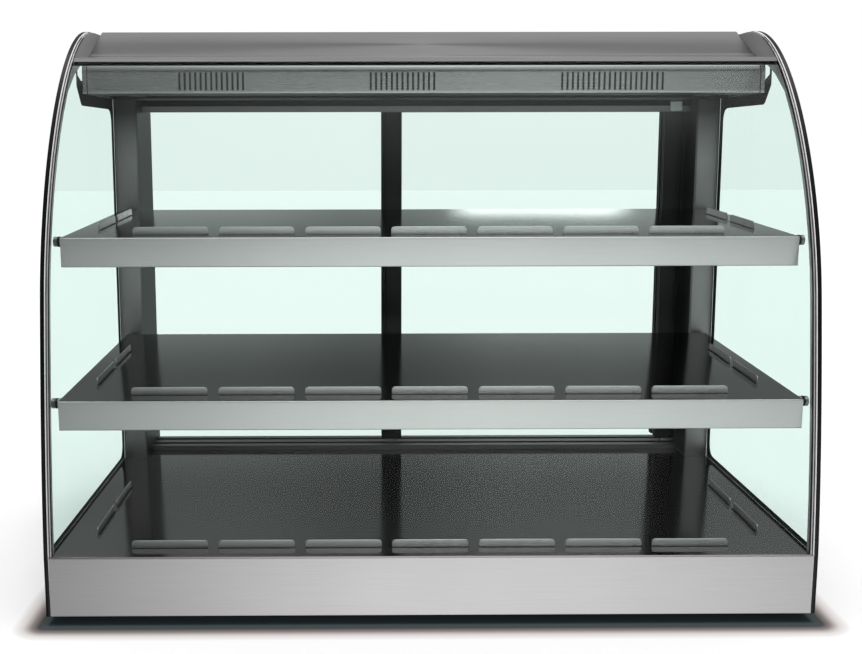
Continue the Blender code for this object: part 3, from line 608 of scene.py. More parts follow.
@dataclass
class SubAssembly:
    """A group of pieces that is built, dressed and reported together."""

    pieces: list[Piece] = field(default_factory=list, init=False)

    def fit(self, piece: Piece, body: str, finish: Finish, *stands_for: str) -> Piece:
        """Make a piece ride a body and stand for CAD nodes.

        Args:
            piece: the finished piece.
            body: CAD body that it moves with.
            finish: its main finish; not used.
            stands_for: CAD nodes that it is shown instead of.

        Returns:
            The same piece.
        """
        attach(piece, body)
        if stands_for:
            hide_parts(*stands_for)
        self.pieces.append(piece)
        LOG.info("%s: %s on %s, %d faces", type(self).__name__, piece.name, body, len(piece.data.polygons))
        return piece

    def dress(self, finish: Finish, *nodes: str) -> None:
        """Give CAD nodes that keep their shape their material."""
        for node in nodes:
            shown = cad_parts[node]
            for slot in shown.material_slots:
                slot.material = finish.material()
            LOG.info("%s: %s keeps its shape, %s", type(self).__name__, node, finish.name)

    def screws(
        self, name: str, body: str, heads: list[tuple[Triple, str]], radius: float = 3.2 * MM,
    ) -> None:
        """Pan-head cross-recess screws as one piece.

        Args:
            name: name of the piece.
            body: CAD body that holds them.
            heads: place of each head's seat and the way that it faces.
            radius: head radius.
        """
        bm = bmesh.new()
        for spot, facing in heads:
            place = Matrix.Translation(spot) @ FACING[facing]
            head = [(radius, 0.0), (radius, 0.25 * radius)]
            for a in (0.35, 0.7, 1.05, 1.3):
                head.append((radius * math.cos(a), radius * (0.25 + 0.4 * math.sin(a))))
            head += [(0.30 * radius, 0.60 * radius), (0.22 * radius, 0.30 * radius)]
            lathe_in(bm, head, place, 20)
            for turn in (20, 110):
                cross = place @ Matrix.Rotation(math.radians(turn), 4, "Z")
                arm, slit, top = 0.62 * radius, 0.09 * radius, 0.66 * radius
                outline = [(-arm, -slit, top), (arm, -slit, top), (arm, slit, top), (-arm, slit, top)]
                before = len(bm.faces)
                depth = cross.to_3x3() @ Vector((0, 0, -0.2 * radius))
                bar_in(bm, [cross @ Vector(p) for p in outline], depth)
                paint(bm, before, 1)
        self.fit(keep(name, bm, PIN_STEEL, SEAL), body, PIN_STEEL)


@dataclass
class Base(SubAssembly):
    """Folded base with the front fascia, the rear control panel and four rubber feet."""

    bend: float = 0.9 * MM
    sheet: float = 1.5 * MM
    dial_marks: int = 11
    dial_start: float = 225.0
    dial_step: float = 27.0
    mark_gap: float = 1.5 * MM
    mark_length: float = 3 * MM
    mark_half: float = 0.3 * MM
    mark_depth: float = 0.15 * MM
    pointer_half: float = 0.6 * MM
    screw_x: float = 0.425
    screw_inset: float = 6 * MM

    def build(self) -> None:
        """Build the fascia and dress the rest."""
        low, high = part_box("base_front_panel")
        path = [(high.y - low.y, low.z), (0.0, low.z), (0.0, high.z), (high.y - low.y, high.z)]
        section = sheet_section(list(reversed(rounded(path, self.bend))), -self.sheet)
        fascia = bar("front_fascia", section, low.x, high.x, FASCIA_STEEL)
        self.fit(fascia, "case", FASCIA_STEEL, "base_front_panel")
        self.dress(GALVANISED, "base_pan")
        self.dress(PANEL_STEEL, "base_rear_panel")
        self.dress(RUBBER, *(f"foot_{end}_{side}" for end in ("front", "rear") for side, _ in SIDES))
        self.control_panel()

    def control_panel(self) -> None:
        """Dial marks, pointer and screws on the rear panel, and the finishes of the controls."""
        low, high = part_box("base_rear_panel")
        knob_low, knob_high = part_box("thermostat_knob")
        knob_x, knob_z = (knob_low.x + knob_high.x) / 2, (knob_low.z + knob_high.z) / 2
        radius = (knob_high.x - knob_low.x) / 2
        centre = Matrix.Translation((knob_x, high.y, knob_z)) @ FACING["rear"]
        bm = bmesh.new()
        for tick in range(self.dial_marks):
            turn = math.radians(self.dial_start - self.dial_step * tick)
            place = centre @ Matrix.Rotation(turn, 4, "Z")
            near = radius + self.mark_gap
            far, half = near + self.mark_length, self.mark_half
            outline = [(near, -half, 0), (far, -half, 0), (far, half, 0), (near, half, 0)]
            rise = place.to_3x3() @ Vector((0, 0, self.mark_depth))
            bar_in(bm, [place @ Vector(p) for p in outline], rise)
        self.fit(keep("dial_marks", bm, BLACK_NYLON), "case", BLACK_NYLON)
        half, top = self.pointer_half, knob_high.y
        start = (knob_x - half, top - 0.1 * MM, knob_z + 0.35 * radius)
        stop = (knob_x + half, top + 0.2 * MM, knob_z + 0.92 * radius)
        self.fit(block("knob_pointer", start, stop, MARKING, 0.1 * MM), "thermostat_knob", MARKING)
        rows = (low.z + self.screw_inset, high.z - self.screw_inset)
        heads = [((x, high.y, z), "rear") for x in (-self.screw_x, self.screw_x) for z in rows]
        self.screws("rear_panel_screws", "case", heads)
        self.dress(BLACK_NYLON, "thermostat_body", "thermostat_knob", "power_inlet")
        self.dress(BLACK_NYLON, "power_switch_body", "lamp_switch_body")
        self.dress(RED_ROCKER, "power_switch_rocker", "lamp_switch_rocker")
        self.dress(AMBER_LENS, "pilot_lamp")
        self.dress(CERAMIC, "terminal_block")
        self.dress(SHEATH, "deck_heating_element")


@dataclass
class FencedPlate(SubAssembly):
    """Deck or shelf: a bright plate with a front lip and a fence of eleven upright tabs."""

    node: str = "deck_plate"
    front: float = 0.0
    height: float = 0.084
    rear: float = 0.5247
    half_width: float = 0.4447
    lip: float = 0.0
    tilt: float = 0.0
    sheet: float = 1.5 * MM
    skirt: float = 14 * MM
    tab_length: float = 90.5 * MM
    tab_pitch: float = 102.9 * MM
    tab_height: float = 9.5 * MM
    tab_corner: float = 5 * MM
    setback: float = 29 * MM
    side_fence: float = 0.405
    side_starts: Point = (0.075, 0.178)
    lip_bend: float = 2.0 * MM
    edge_bend: float = 1.0 * MM
    return_depth: float = 10 * MM
    tab_arris: float = 0.25 * MM
    # black film at each tab's foot, painted shade for the bend's slit: its span and its height above the
    # plate
    relief: Point = (-2.6 * MM, -0.1 * MM)
    painted_shade_film: Point = (0.02 * MM, 0.10 * MM)

    def build(self) -> None:
        """Build the plate flat with its front top edge on the origin, then tilt and place it."""
        bm = bmesh.new()
        length = (self.rear - self.front) / math.cos(self.tilt)
        if self.lip:
            path = [(self.return_depth, -self.lip), (0.0, -self.lip), (0.0, 0.0), (length, 0.0)]
            section = sheet_section(rounded(path, self.lip_bend), self.sheet)
        else:
            path = rounded([(0.0, -self.sheet), (0.0, 0.0), (length, 0.0)], self.edge_bend)
            section = path + [(length, -self.sheet)]
        outline = [(-self.half_width, y, z) for y, z in section]
        bar_in(bm, outline, Vector((2 * self.half_width, 0, 0)))
        for face in bm.faces:
            upright = all(vertex.co.y < 2 * self.sheet for vertex in face.verts)
            face.material_index = 1 if self.lip and upright else 0
        if self.lip:
            for sign in (-1, 1):
                xs = sorted((sign * self.half_width, sign * (self.half_width - self.sheet)))
                box_in(bm, (xs[0], self.sheet + 0.1 * MM, -self.skirt), (xs[1], length, -self.sheet))
        self.tabs(bm)
        plate = keep(f"{self.node}_pressed", bm, DECK_STEEL, LIP_STEEL, TAB_STEEL, SEAL)
        place = Matrix.Translation((0, y_at(self.front), self.height))
        plate.matrix_world = place @ Matrix.Rotation(self.tilt, 4, "X")
        self.fit(plate, "case", DECK_STEEL, self.node)

    def tabs(self, bm: Mesh) -> None:
        """Seven tabs along the front and two on each side, each bent up from the plate."""
        for index in range(-3, 4):
            foot = Vector((index * self.tab_pitch, self.setback, 0))
            self.tab(bm, foot, Vector((1, 0, 0)), Vector((0, 1, 0)))
        for sign in (-1, 1):
            for start in self.side_starts:
                across_at = sign * self.side_fence - sign * self.sheet / 2
                foot = Vector((across_at, start + self.tab_length / 2, 0))
                self.tab(bm, foot, Vector((0, 1, 0)), Vector((sign, 0, 0)))

    def tab(self, bm: Mesh, middle: Vector, run: Vector, back: Vector) -> None:
        """One tab with rounded top corners and broken edges, and a black film at its foot, painted shade for
        the slit that bending leaves.

        Args:
            bm: mesh to add to.
            middle: middle of the tab's inner foot.
            run: direction of its length.
            back: direction of its thickness.
        """
        half, top, foot = self.tab_length / 2, self.tab_height, -0.5 * MM
        corners = [(-half, foot), (-half, top), (half, top), (half, foot)]
        outline = [corners[0], *rounded(corners, self.tab_corner, 6)[1:-1], corners[3]]
        arris = self.tab_arris
        rings = []
        for depth, shrink in ((0.0, arris), (arris, 0.0), (self.sheet - arris, 0.0), (self.sheet, arris)):
            ring = []
            for u, v in outline:
                lift = Vector((0, 0, v - (shrink if v > 0 else 0)))
                ring.append(middle + run * (u - math.copysign(shrink, u)) + back * depth + lift)
            rings.append(ring)
        before = len(bm.faces)
        loft_in(bm, rings)
        paint(bm, before, 2)
        # painted shade: a thin black film on the plate where the bend leaves its slit
        before = len(bm.faces)
        (near, far), (under, over) = self.relief, self.painted_shade_film
        slit = [(near, under), (near, over), (far, over), (far, under)]
        bar_in(bm, [middle - run * half + back * u + Vector((0, 0, v)) for u, v in slit], run * 2 * half)
        paint(bm, before, 3)


@dataclass
class Shelving(SubAssembly):
    """Heated deck, the two tilted shelves, their pegs and their rear brackets."""

    tilt_degrees: float = 2.1
    half_width: float = 0.433
    rear: float = 0.406
    lip: float = 0.035
    peg_radius: float = 6 * MM
    peg_arris: float = 0.4 * MM
    groove: float = 1.0 * MM
    bracket_sheet: float = 2.0 * MM
    screw_height: float = 10 * MM
    # Each shelf's node, how far its front edge stands behind the case's front, and its height
    stand: tuple[tuple[str, float, float], ...] = (
        ("mid_shelf", 0.0248, 0.2628), ("top_shelf", 0.0615, 0.4499),
    )

    def build(self) -> None:
        """Build the three fenced plates and what carries them."""
        tilt = math.radians(self.tilt_degrees)
        deck = FencedPlate()
        deck.build()
        self.pieces += deck.pieces
        for node, front, height in self.stand:
            plate = FencedPlate(node, front, height, self.rear, self.half_width, self.lip, tilt)
            plate.build()
            self.pieces += plate.pieces
        heads = []
        for level in ("mid", "top"):
            for side, sign in SIDES:
                self.peg(level, side, sign)
                bracket = f"{level}_shelf_bracket_{side}"
                self.dress(PIN_STEEL, bracket)
                low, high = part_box(bracket)
                middle = (low.x + high.x) / 2
                heads.append(((middle, high.y - self.bracket_sheet, low.z + self.screw_height), "front"))
        self.screws("bracket_screws", "case", heads)

    def peg(self, level: str, side: str, sign: int) -> None:
        """Turned peg with a rubber ring between the shelf's skirt and the side glass."""
        node = f"{level}_shelf_peg_{side}"
        low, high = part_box(node)
        centre = (low + high) / 2
        length = high.x - low.x
        place = Matrix.Translation((centre.x - sign * length / 2, centre.y, centre.z)) @ FACING[side]
        r, inner, arris = self.peg_radius, self.peg_radius - self.groove, self.peg_arris
        bm = bmesh.new()
        profile = [(r - arris, 0.0), (r, arris), (r, 0.30 * length), (inner, 0.33 * length)]
        profile += [(inner, 0.62 * length), (r, 0.65 * length), (r, length - arris), (r - arris, length)]
        lathe_in(bm, profile, place, 40)
        self.fit(keep(f"{level}_shelf_turned_peg_{side}", bm, PIN_STEEL), "case", PIN_STEEL, node)
        bm = bmesh.new()
        seat, proud = inner - 0.2 * MM, r + 0.2 * MM
        ring = [(seat, 0.36 * length), (proud, 0.40 * length), (proud, 0.55 * length), (seat, 0.59 * length)]
        lathe_in(bm, ring, place, 40)
        self.fit(keep(f"{level}_shelf_peg_ring_{side}", bm, SEAL), "case", SEAL)


@dataclass
class Glazing(SubAssembly):
    """Side glasses with dark edges and a printed border, arches, seals and the curved front glass.

    Points are distance behind the front plane and height above the surface it stands on.
    """

    depth: float = 0.525
    deck: float = 0.084
    base_low: float = 0.012
    crown: Point = (0.300, 0.7075)
    pane_inset: float = 1.5 * MM
    pane: float = 4.0 * MM
    outer: float = 0.450
    glass: float = 5.0 * MM
    bead: float = 0.7 * MM
    strip_end: float = 0.240
    outer_seal: Point = (0.4435, 0.4425)
    inner_seal: Point = (0.4409, 0.4399)

    def profile(self) -> list[Point]:
        """The side profile from the deck to the crown."""
        lower = bezier(((0.0, self.deck), (0.004, 0.184), (0.0161, 0.283), (0.030, 0.382)), 16)
        upper = bezier(((0.030, 0.382), (0.0523, 0.5404), (0.168, self.crown[1]), self.crown), 44)
        return lower + upper[1:]

    def build(self) -> None:
        """Build the panes, print, arches' lines and seals."""
        for side, sign in SIDES:
            self.side_glass(side, sign)
            self.print_border(side, sign)
            self.dress(ARCH_ALUMINIUM, f"glass_arch_{side}")
            self.arch_lines(side, sign)
        self.front_glass()
        self.dress(TRIM_ALUMINIUM, "front_glass_trim")
        self.trim_bead()

    def side_glass(self, side: str, sign: int) -> None:
        """One side glass with arrised, polished edges."""
        rear = [(self.depth, self.crown[1]), (self.depth, self.base_low)]
        outline = [(0.0, self.base_low), *self.profile(), *rear]
        bm = bmesh.new()
        start = sign * (self.outer - self.glass)
        sides = bar_in(bm, across(outline, start), Vector((sign * self.glass, 0, 0)))
        rim = {
            edge for face in sides for edge in face.edges
            if abs(edge.verts[0].co.x - edge.verts[1].co.x) < 1e-6
        }
        bmesh.ops.bevel(bm, geom=list(rim), offset=0.6 * MM, segments=1, affect="EDGES")
        bm.normal_update()
        for face in bm.faces:
            face.material_index = 0 if abs(face.normal.x) > 0.95 else 1
        piece = keep(f"side_pane_{side}", bm, SIDE_PANE, GLASS_EDGE, angle=30)
        self.fit(piece, "case", SIDE_PANE, f"side_glass_{side}")

    def print_border(self, side: str, sign: int) -> None:
        """Black enamel border fired on the inner face, round the see-through area."""
        low, rear, top = self.deck + 7 * MM, 0.400, 0.608
        inner = [(0.0035, low), (rear, low), (rear, top), (0.233, top), (0.2115, 0.632), (0.2115, 0.668)]
        low, rear, top = self.deck, 0.4145, 0.640
        outer = [(0.0015, low), (rear, low), (rear, top), (0.2345, top), (0.2190, 0.646), (0.2190, 0.668)]
        x = sign * (self.outer - self.glass - 0.12 * MM)
        bm = bmesh.new()
        first = [bm.verts.new(p) for p in across(self.window(inner, 20 * MM, 14 * MM), x)]
        second = [bm.verts.new(p) for p in across(self.window(outer, 1 * MM, 6 * MM), x)]
        for index in range(len(first) - 1):
            bm.faces.new((first[index], first[index + 1], second[index + 1], second[index]))
        grown = bmesh.ops.extrude_face_region(bm, geom=bm.faces[:])
        for item in grown["geom"]:
            if isinstance(item, bmesh.types.BMVert):
                item.co.x += sign * 0.08 * MM
        self.fit(keep(f"printed_border_{side}", bm, PRINT), "case", PRINT)

    def window(self, corners: list[Point], rear_bend: float, front_bend: float) -> list[Point]:
        """Round one line of the border.

        Args:
            corners: its six corners, from the front foot round the rear to the canopy.
            rear_bend: radius of the two rear corners.
            front_bend: radius of the corner under the canopy.

        Returns:
            The rounded line.
        """
        first, *rear, under, rise, last = corners
        back = rounded([first, *rear, under], rear_bend, 8)[1:-1]
        return [first, *back, *rounded([rear[-1], under, rise], front_bend, 8)[1:-1], rise, last]

    def strip(self, name: str, xs: Point, sinks: Point, finish: Finish) -> None:
        """A strip that follows the front profile.

        Args:
            name: name of the piece.
            xs: its two sides along the width.
            sinks: how far its outer and inner faces lie inside the profile.
            finish: its finish.
        """
        path = [point for point in self.profile() if point[0] <= self.strip_end]
        section = offset(path, sinks[0]) + list(reversed(offset(path, sinks[1])))
        self.fit(bar(name, section, xs[0], xs[1], finish), "case", finish)

    def arch_lines(self, side: str, sign: int) -> None:
        """Dark seals that hold the front glass along each arch."""
        for place, xs, sinks in (
            ("outer", self.outer_seal, (0.2 * MM, 0.9 * MM)),
            ("inner", self.inner_seal, (0.5 * MM, 1.4 * MM)),
        ):
            span = sorted(sign * x for x in xs)
            self.strip(f"arch_{place}_seal_{side}", (span[0], span[1]), sinks, SEAL)

    def front_glass(self) -> None:
        """Curved pane with dark polished edges at both ends and along its foot."""
        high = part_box("front_glass")[1]
        path = [p for p in self.profile() if p[0] <= high.y - y_at(0.0) - 0.5 * MM]
        outer = offset(path, self.pane_inset)
        inner = offset(path, self.pane_inset + self.pane)
        half = high.x
        bm = bmesh.new()
        bar_in(bm, across(outer + list(reversed(inner)), -half), Vector((2 * half, 0, 0)))
        bm.normal_update()
        for face in bm.faces:
            tall = max(edge.calc_length() for edge in face.edges)
            ends = abs(face.normal.x) > 0.5
            foot = all(abs(vertex.co.z - self.deck) < 1 * MM for vertex in face.verts)
            face.material_index = 1 if ends or foot or tall < 0.01 else 0
        piece = keep("curved_front_pane", bm, FRONT_PANE, GLASS_EDGE)
        self.fit(piece, "case", FRONT_PANE, "front_glass")

    def trim_bead(self) -> None:
        """Polished bead along the top edge of the channel on the front glass."""
        low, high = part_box("front_glass_trim")
        behind, height = high.y - y_at(0.0) - 1.4 * MM, high.z - 0.5 * MM
        turns = [math.radians(30 * step) for step in range(12)]
        section = [(behind + self.bead * math.cos(a), height + self.bead * math.sin(a)) for a in turns]
        piece = bar("glass_trim_bead", section, low.x, high.x, BRIGHT_ALUMINIUM)
        self.fit(piece, "case", BRIGHT_ALUMINIUM)


@dataclass
class Canopy(SubAssembly):
    """Lamp hood with vent slots, end caps, reflector, lamp, and the roof panels."""

    nose_front: float = 0.217
    nose_top: float = 0.664
    underside: float = 0.622
    nose_radius: float = 14 * MM
    chin_radius: float = 2 * MM
    hood_back: float = 0.262
    sheet: float = 1.5 * MM
    slot_low: float = 0.6265
    slot_high: float = 0.6490
    slot_width: float = 2.6 * MM
    slot_pitch: float = 6.8 * MM
    slope: float = 0.4937
    hem_rise: float = 6.8 * MM
    hem_run: float = 10 * MM
    coil_turns: int = 90
    coil_steps: int = 10
    coil_radius: float = 1.6 * MM
    wire_radius: float = 0.25 * MM
    slot_groups: tuple[Point, ...] = ((-0.316, -0.231), (-0.069, 0.013), (0.175, 0.309))
    mesh_places: Point = (4 * MM, 4.6 * MM)

    def nose(self) -> list[Point]:
        """Outside of the hood, from its underside round the nose to its top rear edge."""
        front, chin, top = self.nose_front, [], []
        for step in range(7):
            out, up = math.sin(math.radians(15 * step)), math.cos(math.radians(15 * step))
            chin.append((front + self.chin_radius * (1 - out), self.underside + self.chin_radius * (1 - up)))
        for step in range(10):
            out, up = math.cos(math.radians(10 * step)), math.sin(math.radians(10 * step))
            top.append((front + self.nose_radius * (1 - out), self.nose_top - self.nose_radius * (1 - up)))
        face = [(front, self.slot_low), (front, self.slot_high)]
        return [(self.hood_back, self.underside), *chin, *face, *top, (self.hood_back, self.nose_top)]

    def build(self) -> None:
        """Build the hood, caps, roof details and lamp parts."""
        self.hood()
        for side, sign in SIDES:
            self.end_cap(side, sign)
        self.roof()
        # the reflector takes the underside's painted shade too
        self.dress(UNDERSIDE_PAINTED_SHADE, "lamp_reflector")
        self.dress(QUARTZ, "heat_lamp_tube")
        self.dress(CERAMIC, "lamp_holder_left", "lamp_holder_right")
        self.filament()

    def hood(self) -> None:
        """Bent hood with three groups of upright vent slots punched through its front."""
        low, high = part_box("canopy_hood")
        outer = self.nose()
        inner = offset(outer, self.sheet)
        ring = outer + list(reversed(inner))
        lower = outer.index((self.nose_front, self.slot_low))
        upper = outer.index((self.nose_front, self.slot_high))
        stations = [(low.x, False)]
        for start, stop in self.slot_groups:
            count = int((stop - start) // self.slot_pitch) + 1
            first = (start + stop - (count - 1) * self.slot_pitch) / 2
            for index in range(count):
                x = first + index * self.slot_pitch
                stations += [(x - self.slot_width / 2, True), (x + self.slot_width / 2, False)]
        stations.append((high.x, False))
        bm = bmesh.new()
        rings = [[bm.verts.new(p) for p in across(ring, x)] for x, _ in stations]
        count = len(ring)
        inner_lower, inner_upper = count - 1 - lower, count - 1 - upper
        for (_, opens), first, second in zip(stations, rings, rings[1:]):
            for index in range(count):
                after = (index + 1) % count
                if opens and (index == lower or index == inner_upper):
                    continue
                bm.faces.new((first[index], first[after], second[after], second[index]))
            if opens:
                bm.faces.new((first[lower], second[lower], second[inner_lower], first[inner_lower]))
                bm.faces.new((first[upper], second[upper], second[inner_upper], first[inner_upper]))
                for edge in (first, second):
                    bm.faces.new((edge[lower], edge[upper], edge[inner_upper], edge[inner_lower]))
        bm.faces.new(rings[0])
        bm.faces.new(rings[-1])
        # painted shade: faces that look down get the near-black copy of the steel
        self.paint_underside_shade(bm)
        piece = keep("vented_hood", bm, HOOD_STEEL, UNDERSIDE_PAINTED_SHADE)
        self.fit(piece, "case", HOOD_STEEL, "canopy_hood")
        bm = bmesh.new()
        for start, stop in self.slot_groups:
            near, far = (y_at(self.nose_front + depth) for depth in self.mesh_places)
            low, high = self.slot_low - 2 * MM, self.slot_high + 2 * MM
            box_in(bm, (start - 6 * MM, near, low), (stop + 6 * MM, far, high))
        self.fit(soften(keep("vent_backing_mesh", bm, BLACK_NYLON), 0.2 * MM), "case", BLACK_NYLON)

    def paint_underside_shade(self, bm: Mesh) -> None:
        """Give the faces that look down the second material, which paints them in shade."""
        for face in bm.faces:
            face.material_index = 1 if face.calc_center_median().z < self.underside + 0.3 * MM else 0

    def end_cap(self, side: str, sign: int) -> None:
        """Cap that closes the hood's end, with broken edges and a black strip in its seam as painted shade.
        """
        node = f"canopy_end_cap_{side}"
        low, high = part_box(node)
        rear = high.y - y_at(0.0)
        section = self.nose()[1:-1] + [(rear, self.nose_top), (rear, self.underside)]
        bm = bmesh.new()
        bar_in(bm, across(section, low.x), Vector((high.x - low.x, 0, 0)))
        self.paint_underside_shade(bm)
        cap = keep(f"hood_cap_{side}", bm, HOOD_STEEL, UNDERSIDE_PAINTED_SHADE)
        self.fit(soften(cap, 0.8 * MM, 3), "case", HOOD_STEEL, node)
        # painted shade: a black strip along the seam between the cap and the hood
        inner = min(abs(low.x), abs(high.x))
        seam = sorted((sign * inner, sign * (inner - 0.9 * MM)))
        lip = [(b - 0.25 * MM, z) for b, z in self.nose()[1:-1]]
        section = lip + [(self.hood_back, self.nose_top + 0.2 * MM), (self.hood_back, self.underside)]
        self.fit(bar(f"hood_cap_shadow_seam_{side}", section, seam[0], seam[1], SEAL), "case", SEAL)

    def roof(self) -> None:
        """Sloped and flat roof panels, with the folded step along the slope's foot."""
        self.dress(ROOF_STEEL, "roof_slope_panel", "roof_top_panel")
        low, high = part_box("roof_slope_panel")
        foot = low.y - y_at(0.0)
        front, step = foot - self.sheet, low.z + self.hem_rise
        top = (front + self.hem_run, step + self.hem_run * self.slope)
        path = [(front, low.z - 0.3 * MM), (front, step), top]
        section = sheet_section(rounded(path, 1.2 * MM), 1.0 * MM)
        self.fit(bar("roof_foot_hem", section, low.x, high.x, ROOF_STEEL), "case", ROOF_STEEL)

    def filament(self) -> None:
        """Coiled filament on the axis of the quartz tube."""
        low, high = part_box("heat_lamp_tube")
        middle = (low + high) / 2
        coil = bpy.data.curves.new("lamp_filament", "CURVE")
        coil.dimensions = "3D"
        coil.bevel_depth = self.wire_radius
        coil.bevel_resolution = 1
        turns, steps, radius = self.coil_turns, self.coil_steps, self.coil_radius
        half = (high.x - low.x) / 2 - 12 * MM
        spline = coil.splines.new("POLY")
        spline.points.add(turns * steps)
        for index, point in enumerate(spline.points):
            turn = math.tau * index / steps
            x = middle.x - half + 2 * half * index / (turns * steps)
            point.co = (x, middle.y + radius * math.cos(turn), middle.z + radius * math.sin(turn), 1.0)
        coil.materials.append(SHEATH.material())
        made = bpy.data.objects.new("lamp_filament", coil)
        bpy.context.scene.collection.objects.link(made)
        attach(made, "case")
        self.pieces.append(made)


@dataclass
class RearFrame(SubAssembly):
    """Rear posts and the two door tracks."""

    sheet: float = 1.5 * MM
    bend: float = 2.5 * MM
    strip_setback: float = 3 * MM
    strip_sheet: float = 0.3 * MM
    stop_span: Point = (30 * MM, 12 * MM)
    stop_height: Point = (1 * MM, 15 * MM)
    stop_proud: float = 3.6 * MM

    def build(self) -> None:
        """Bent square posts, dressed tracks and the end stop."""
        for side, sign in SIDES:
            node = f"rear_post_{side}"
            low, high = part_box(node)
            corners = [(low.x, low.y), (high.x, low.y), (high.x, high.y), (low.x, high.y)]
            outer = rounded(corners, self.bend, 5, closed=True)
            bm = bmesh.new()
            bar_in(bm, [(x, y, low.z) for x, y in outer], Vector((0, 0, high.z - low.z)))
            self.fit(keep(f"bent_post_{side}", bm, POST_STEEL), "case", POST_STEEL, node)
            # a black strip over the post's inner face, which makes that face dark
            inner = min(abs(low.x), abs(high.x))
            xs = sorted((sign * (inner - self.strip_sheet), sign * (inner + 0.1 * MM)))
            foot = (xs[0], low.y + self.strip_setback, low.z + 1 * MM)
            head = (xs[1], high.y - 2 * MM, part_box("door_track_top")[0].z)
            strip = block(f"post_inner_black_strip_{side}", foot, head, BLACK_ALUMINIUM, 0.1 * MM)
            self.fit(strip, "case", BLACK_ALUMINIUM)
        self.dress(TRACK_ALUMINIUM, "door_track_bottom", "door_track_top")
        low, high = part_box("door_track_top")
        (left, right), (under, over) = self.stop_span, self.stop_height
        near = (high.x - left, low.y - self.stop_proud, low.z + under)
        far = (high.x - right, low.y + 0.2 * MM, low.z + over)
        self.fit(block("track_end_stop", near, far, BRIGHT_ALUMINIUM, 0.5 * MM), "case", BRIGHT_ALUMINIUM)


@dataclass
class SlidingDoor(SubAssembly):
    """One sliding door: pane, two stiles, top rail and two rollers."""

    side: str = "left"

    def build(self) -> None:
        """Build the pane and stiles and dress the rest."""
        body = f"{self.side}_door"
        node = f"{body}_glass"
        low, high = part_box(node)
        bm = bmesh.new()
        box_in(bm, tuple(low), tuple(high))
        bmesh.ops.bevel(bm, geom=bm.edges[:], offset=0.5 * MM, segments=1, affect="EDGES")
        bm.normal_update()
        for face in bm.faces:
            face.material_index = 0 if abs(face.normal.y) > 0.95 else 1
        self.fit(keep(f"{self.side}_door_pane", bm, DOOR_PANE, GLASS_EDGE), body, DOOR_PANE, node)
        for end, _ in SIDES:
            self.stile(body, end)
        self.dress(BLACK_ALUMINIUM, f"{body}_top_rail")
        self.dress(WHITE_NYLON, f"{body}_roller_left", f"{body}_roller_right")

    def stile(self, body: str, end: str) -> None:
        """Extruded stile with a slot for the pane, broken edges and a finger groove."""
        node = f"{body}_stile_{end}"
        low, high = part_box(node)
        pane_low, pane_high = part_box(f"{body}_glass")
        slot_low, slot_high = pane_low.y - 0.3 * MM, pane_high.y + 0.3 * MM
        inward = 1 if end == "left" else -1
        edge, reach = (low.x, high.x) if end == "left" else (high.x, low.x)
        mouth = reach - inward * 10.3 * MM
        groove = 1.2 * MM
        outline = [
            (edge, low.y), (edge + inward * 4 * MM, low.y), (edge + inward * 4.6 * MM, low.y + groove),
            (edge + inward * 6.2 * MM, low.y + groove), (edge + inward * 6.8 * MM, low.y), (reach, low.y),
            (reach, slot_low), (mouth, slot_low), (mouth, slot_high), (reach, slot_high), (reach, high.y),
            (edge + inward * 14 * MM, high.y), (edge + inward * 13 * MM, high.y - 2 * groove),
            (edge + inward * 7 * MM, high.y - 2 * groove), (edge + inward * 6 * MM, high.y), (edge, high.y),
        ]
        bm = bmesh.new()
        bar_in(bm, [(x, y, low.z) for x, y in outline], Vector((0, 0, high.z - low.z)))
        piece = soften(keep(f"{body}_extruded_stile_{end}", bm, BLACK_ALUMINIUM), 0.5 * MM)
        self.fit(piece, body, BLACK_ALUMINIUM, node)


# ---- Studio ------------------------------------------------------------------------------------

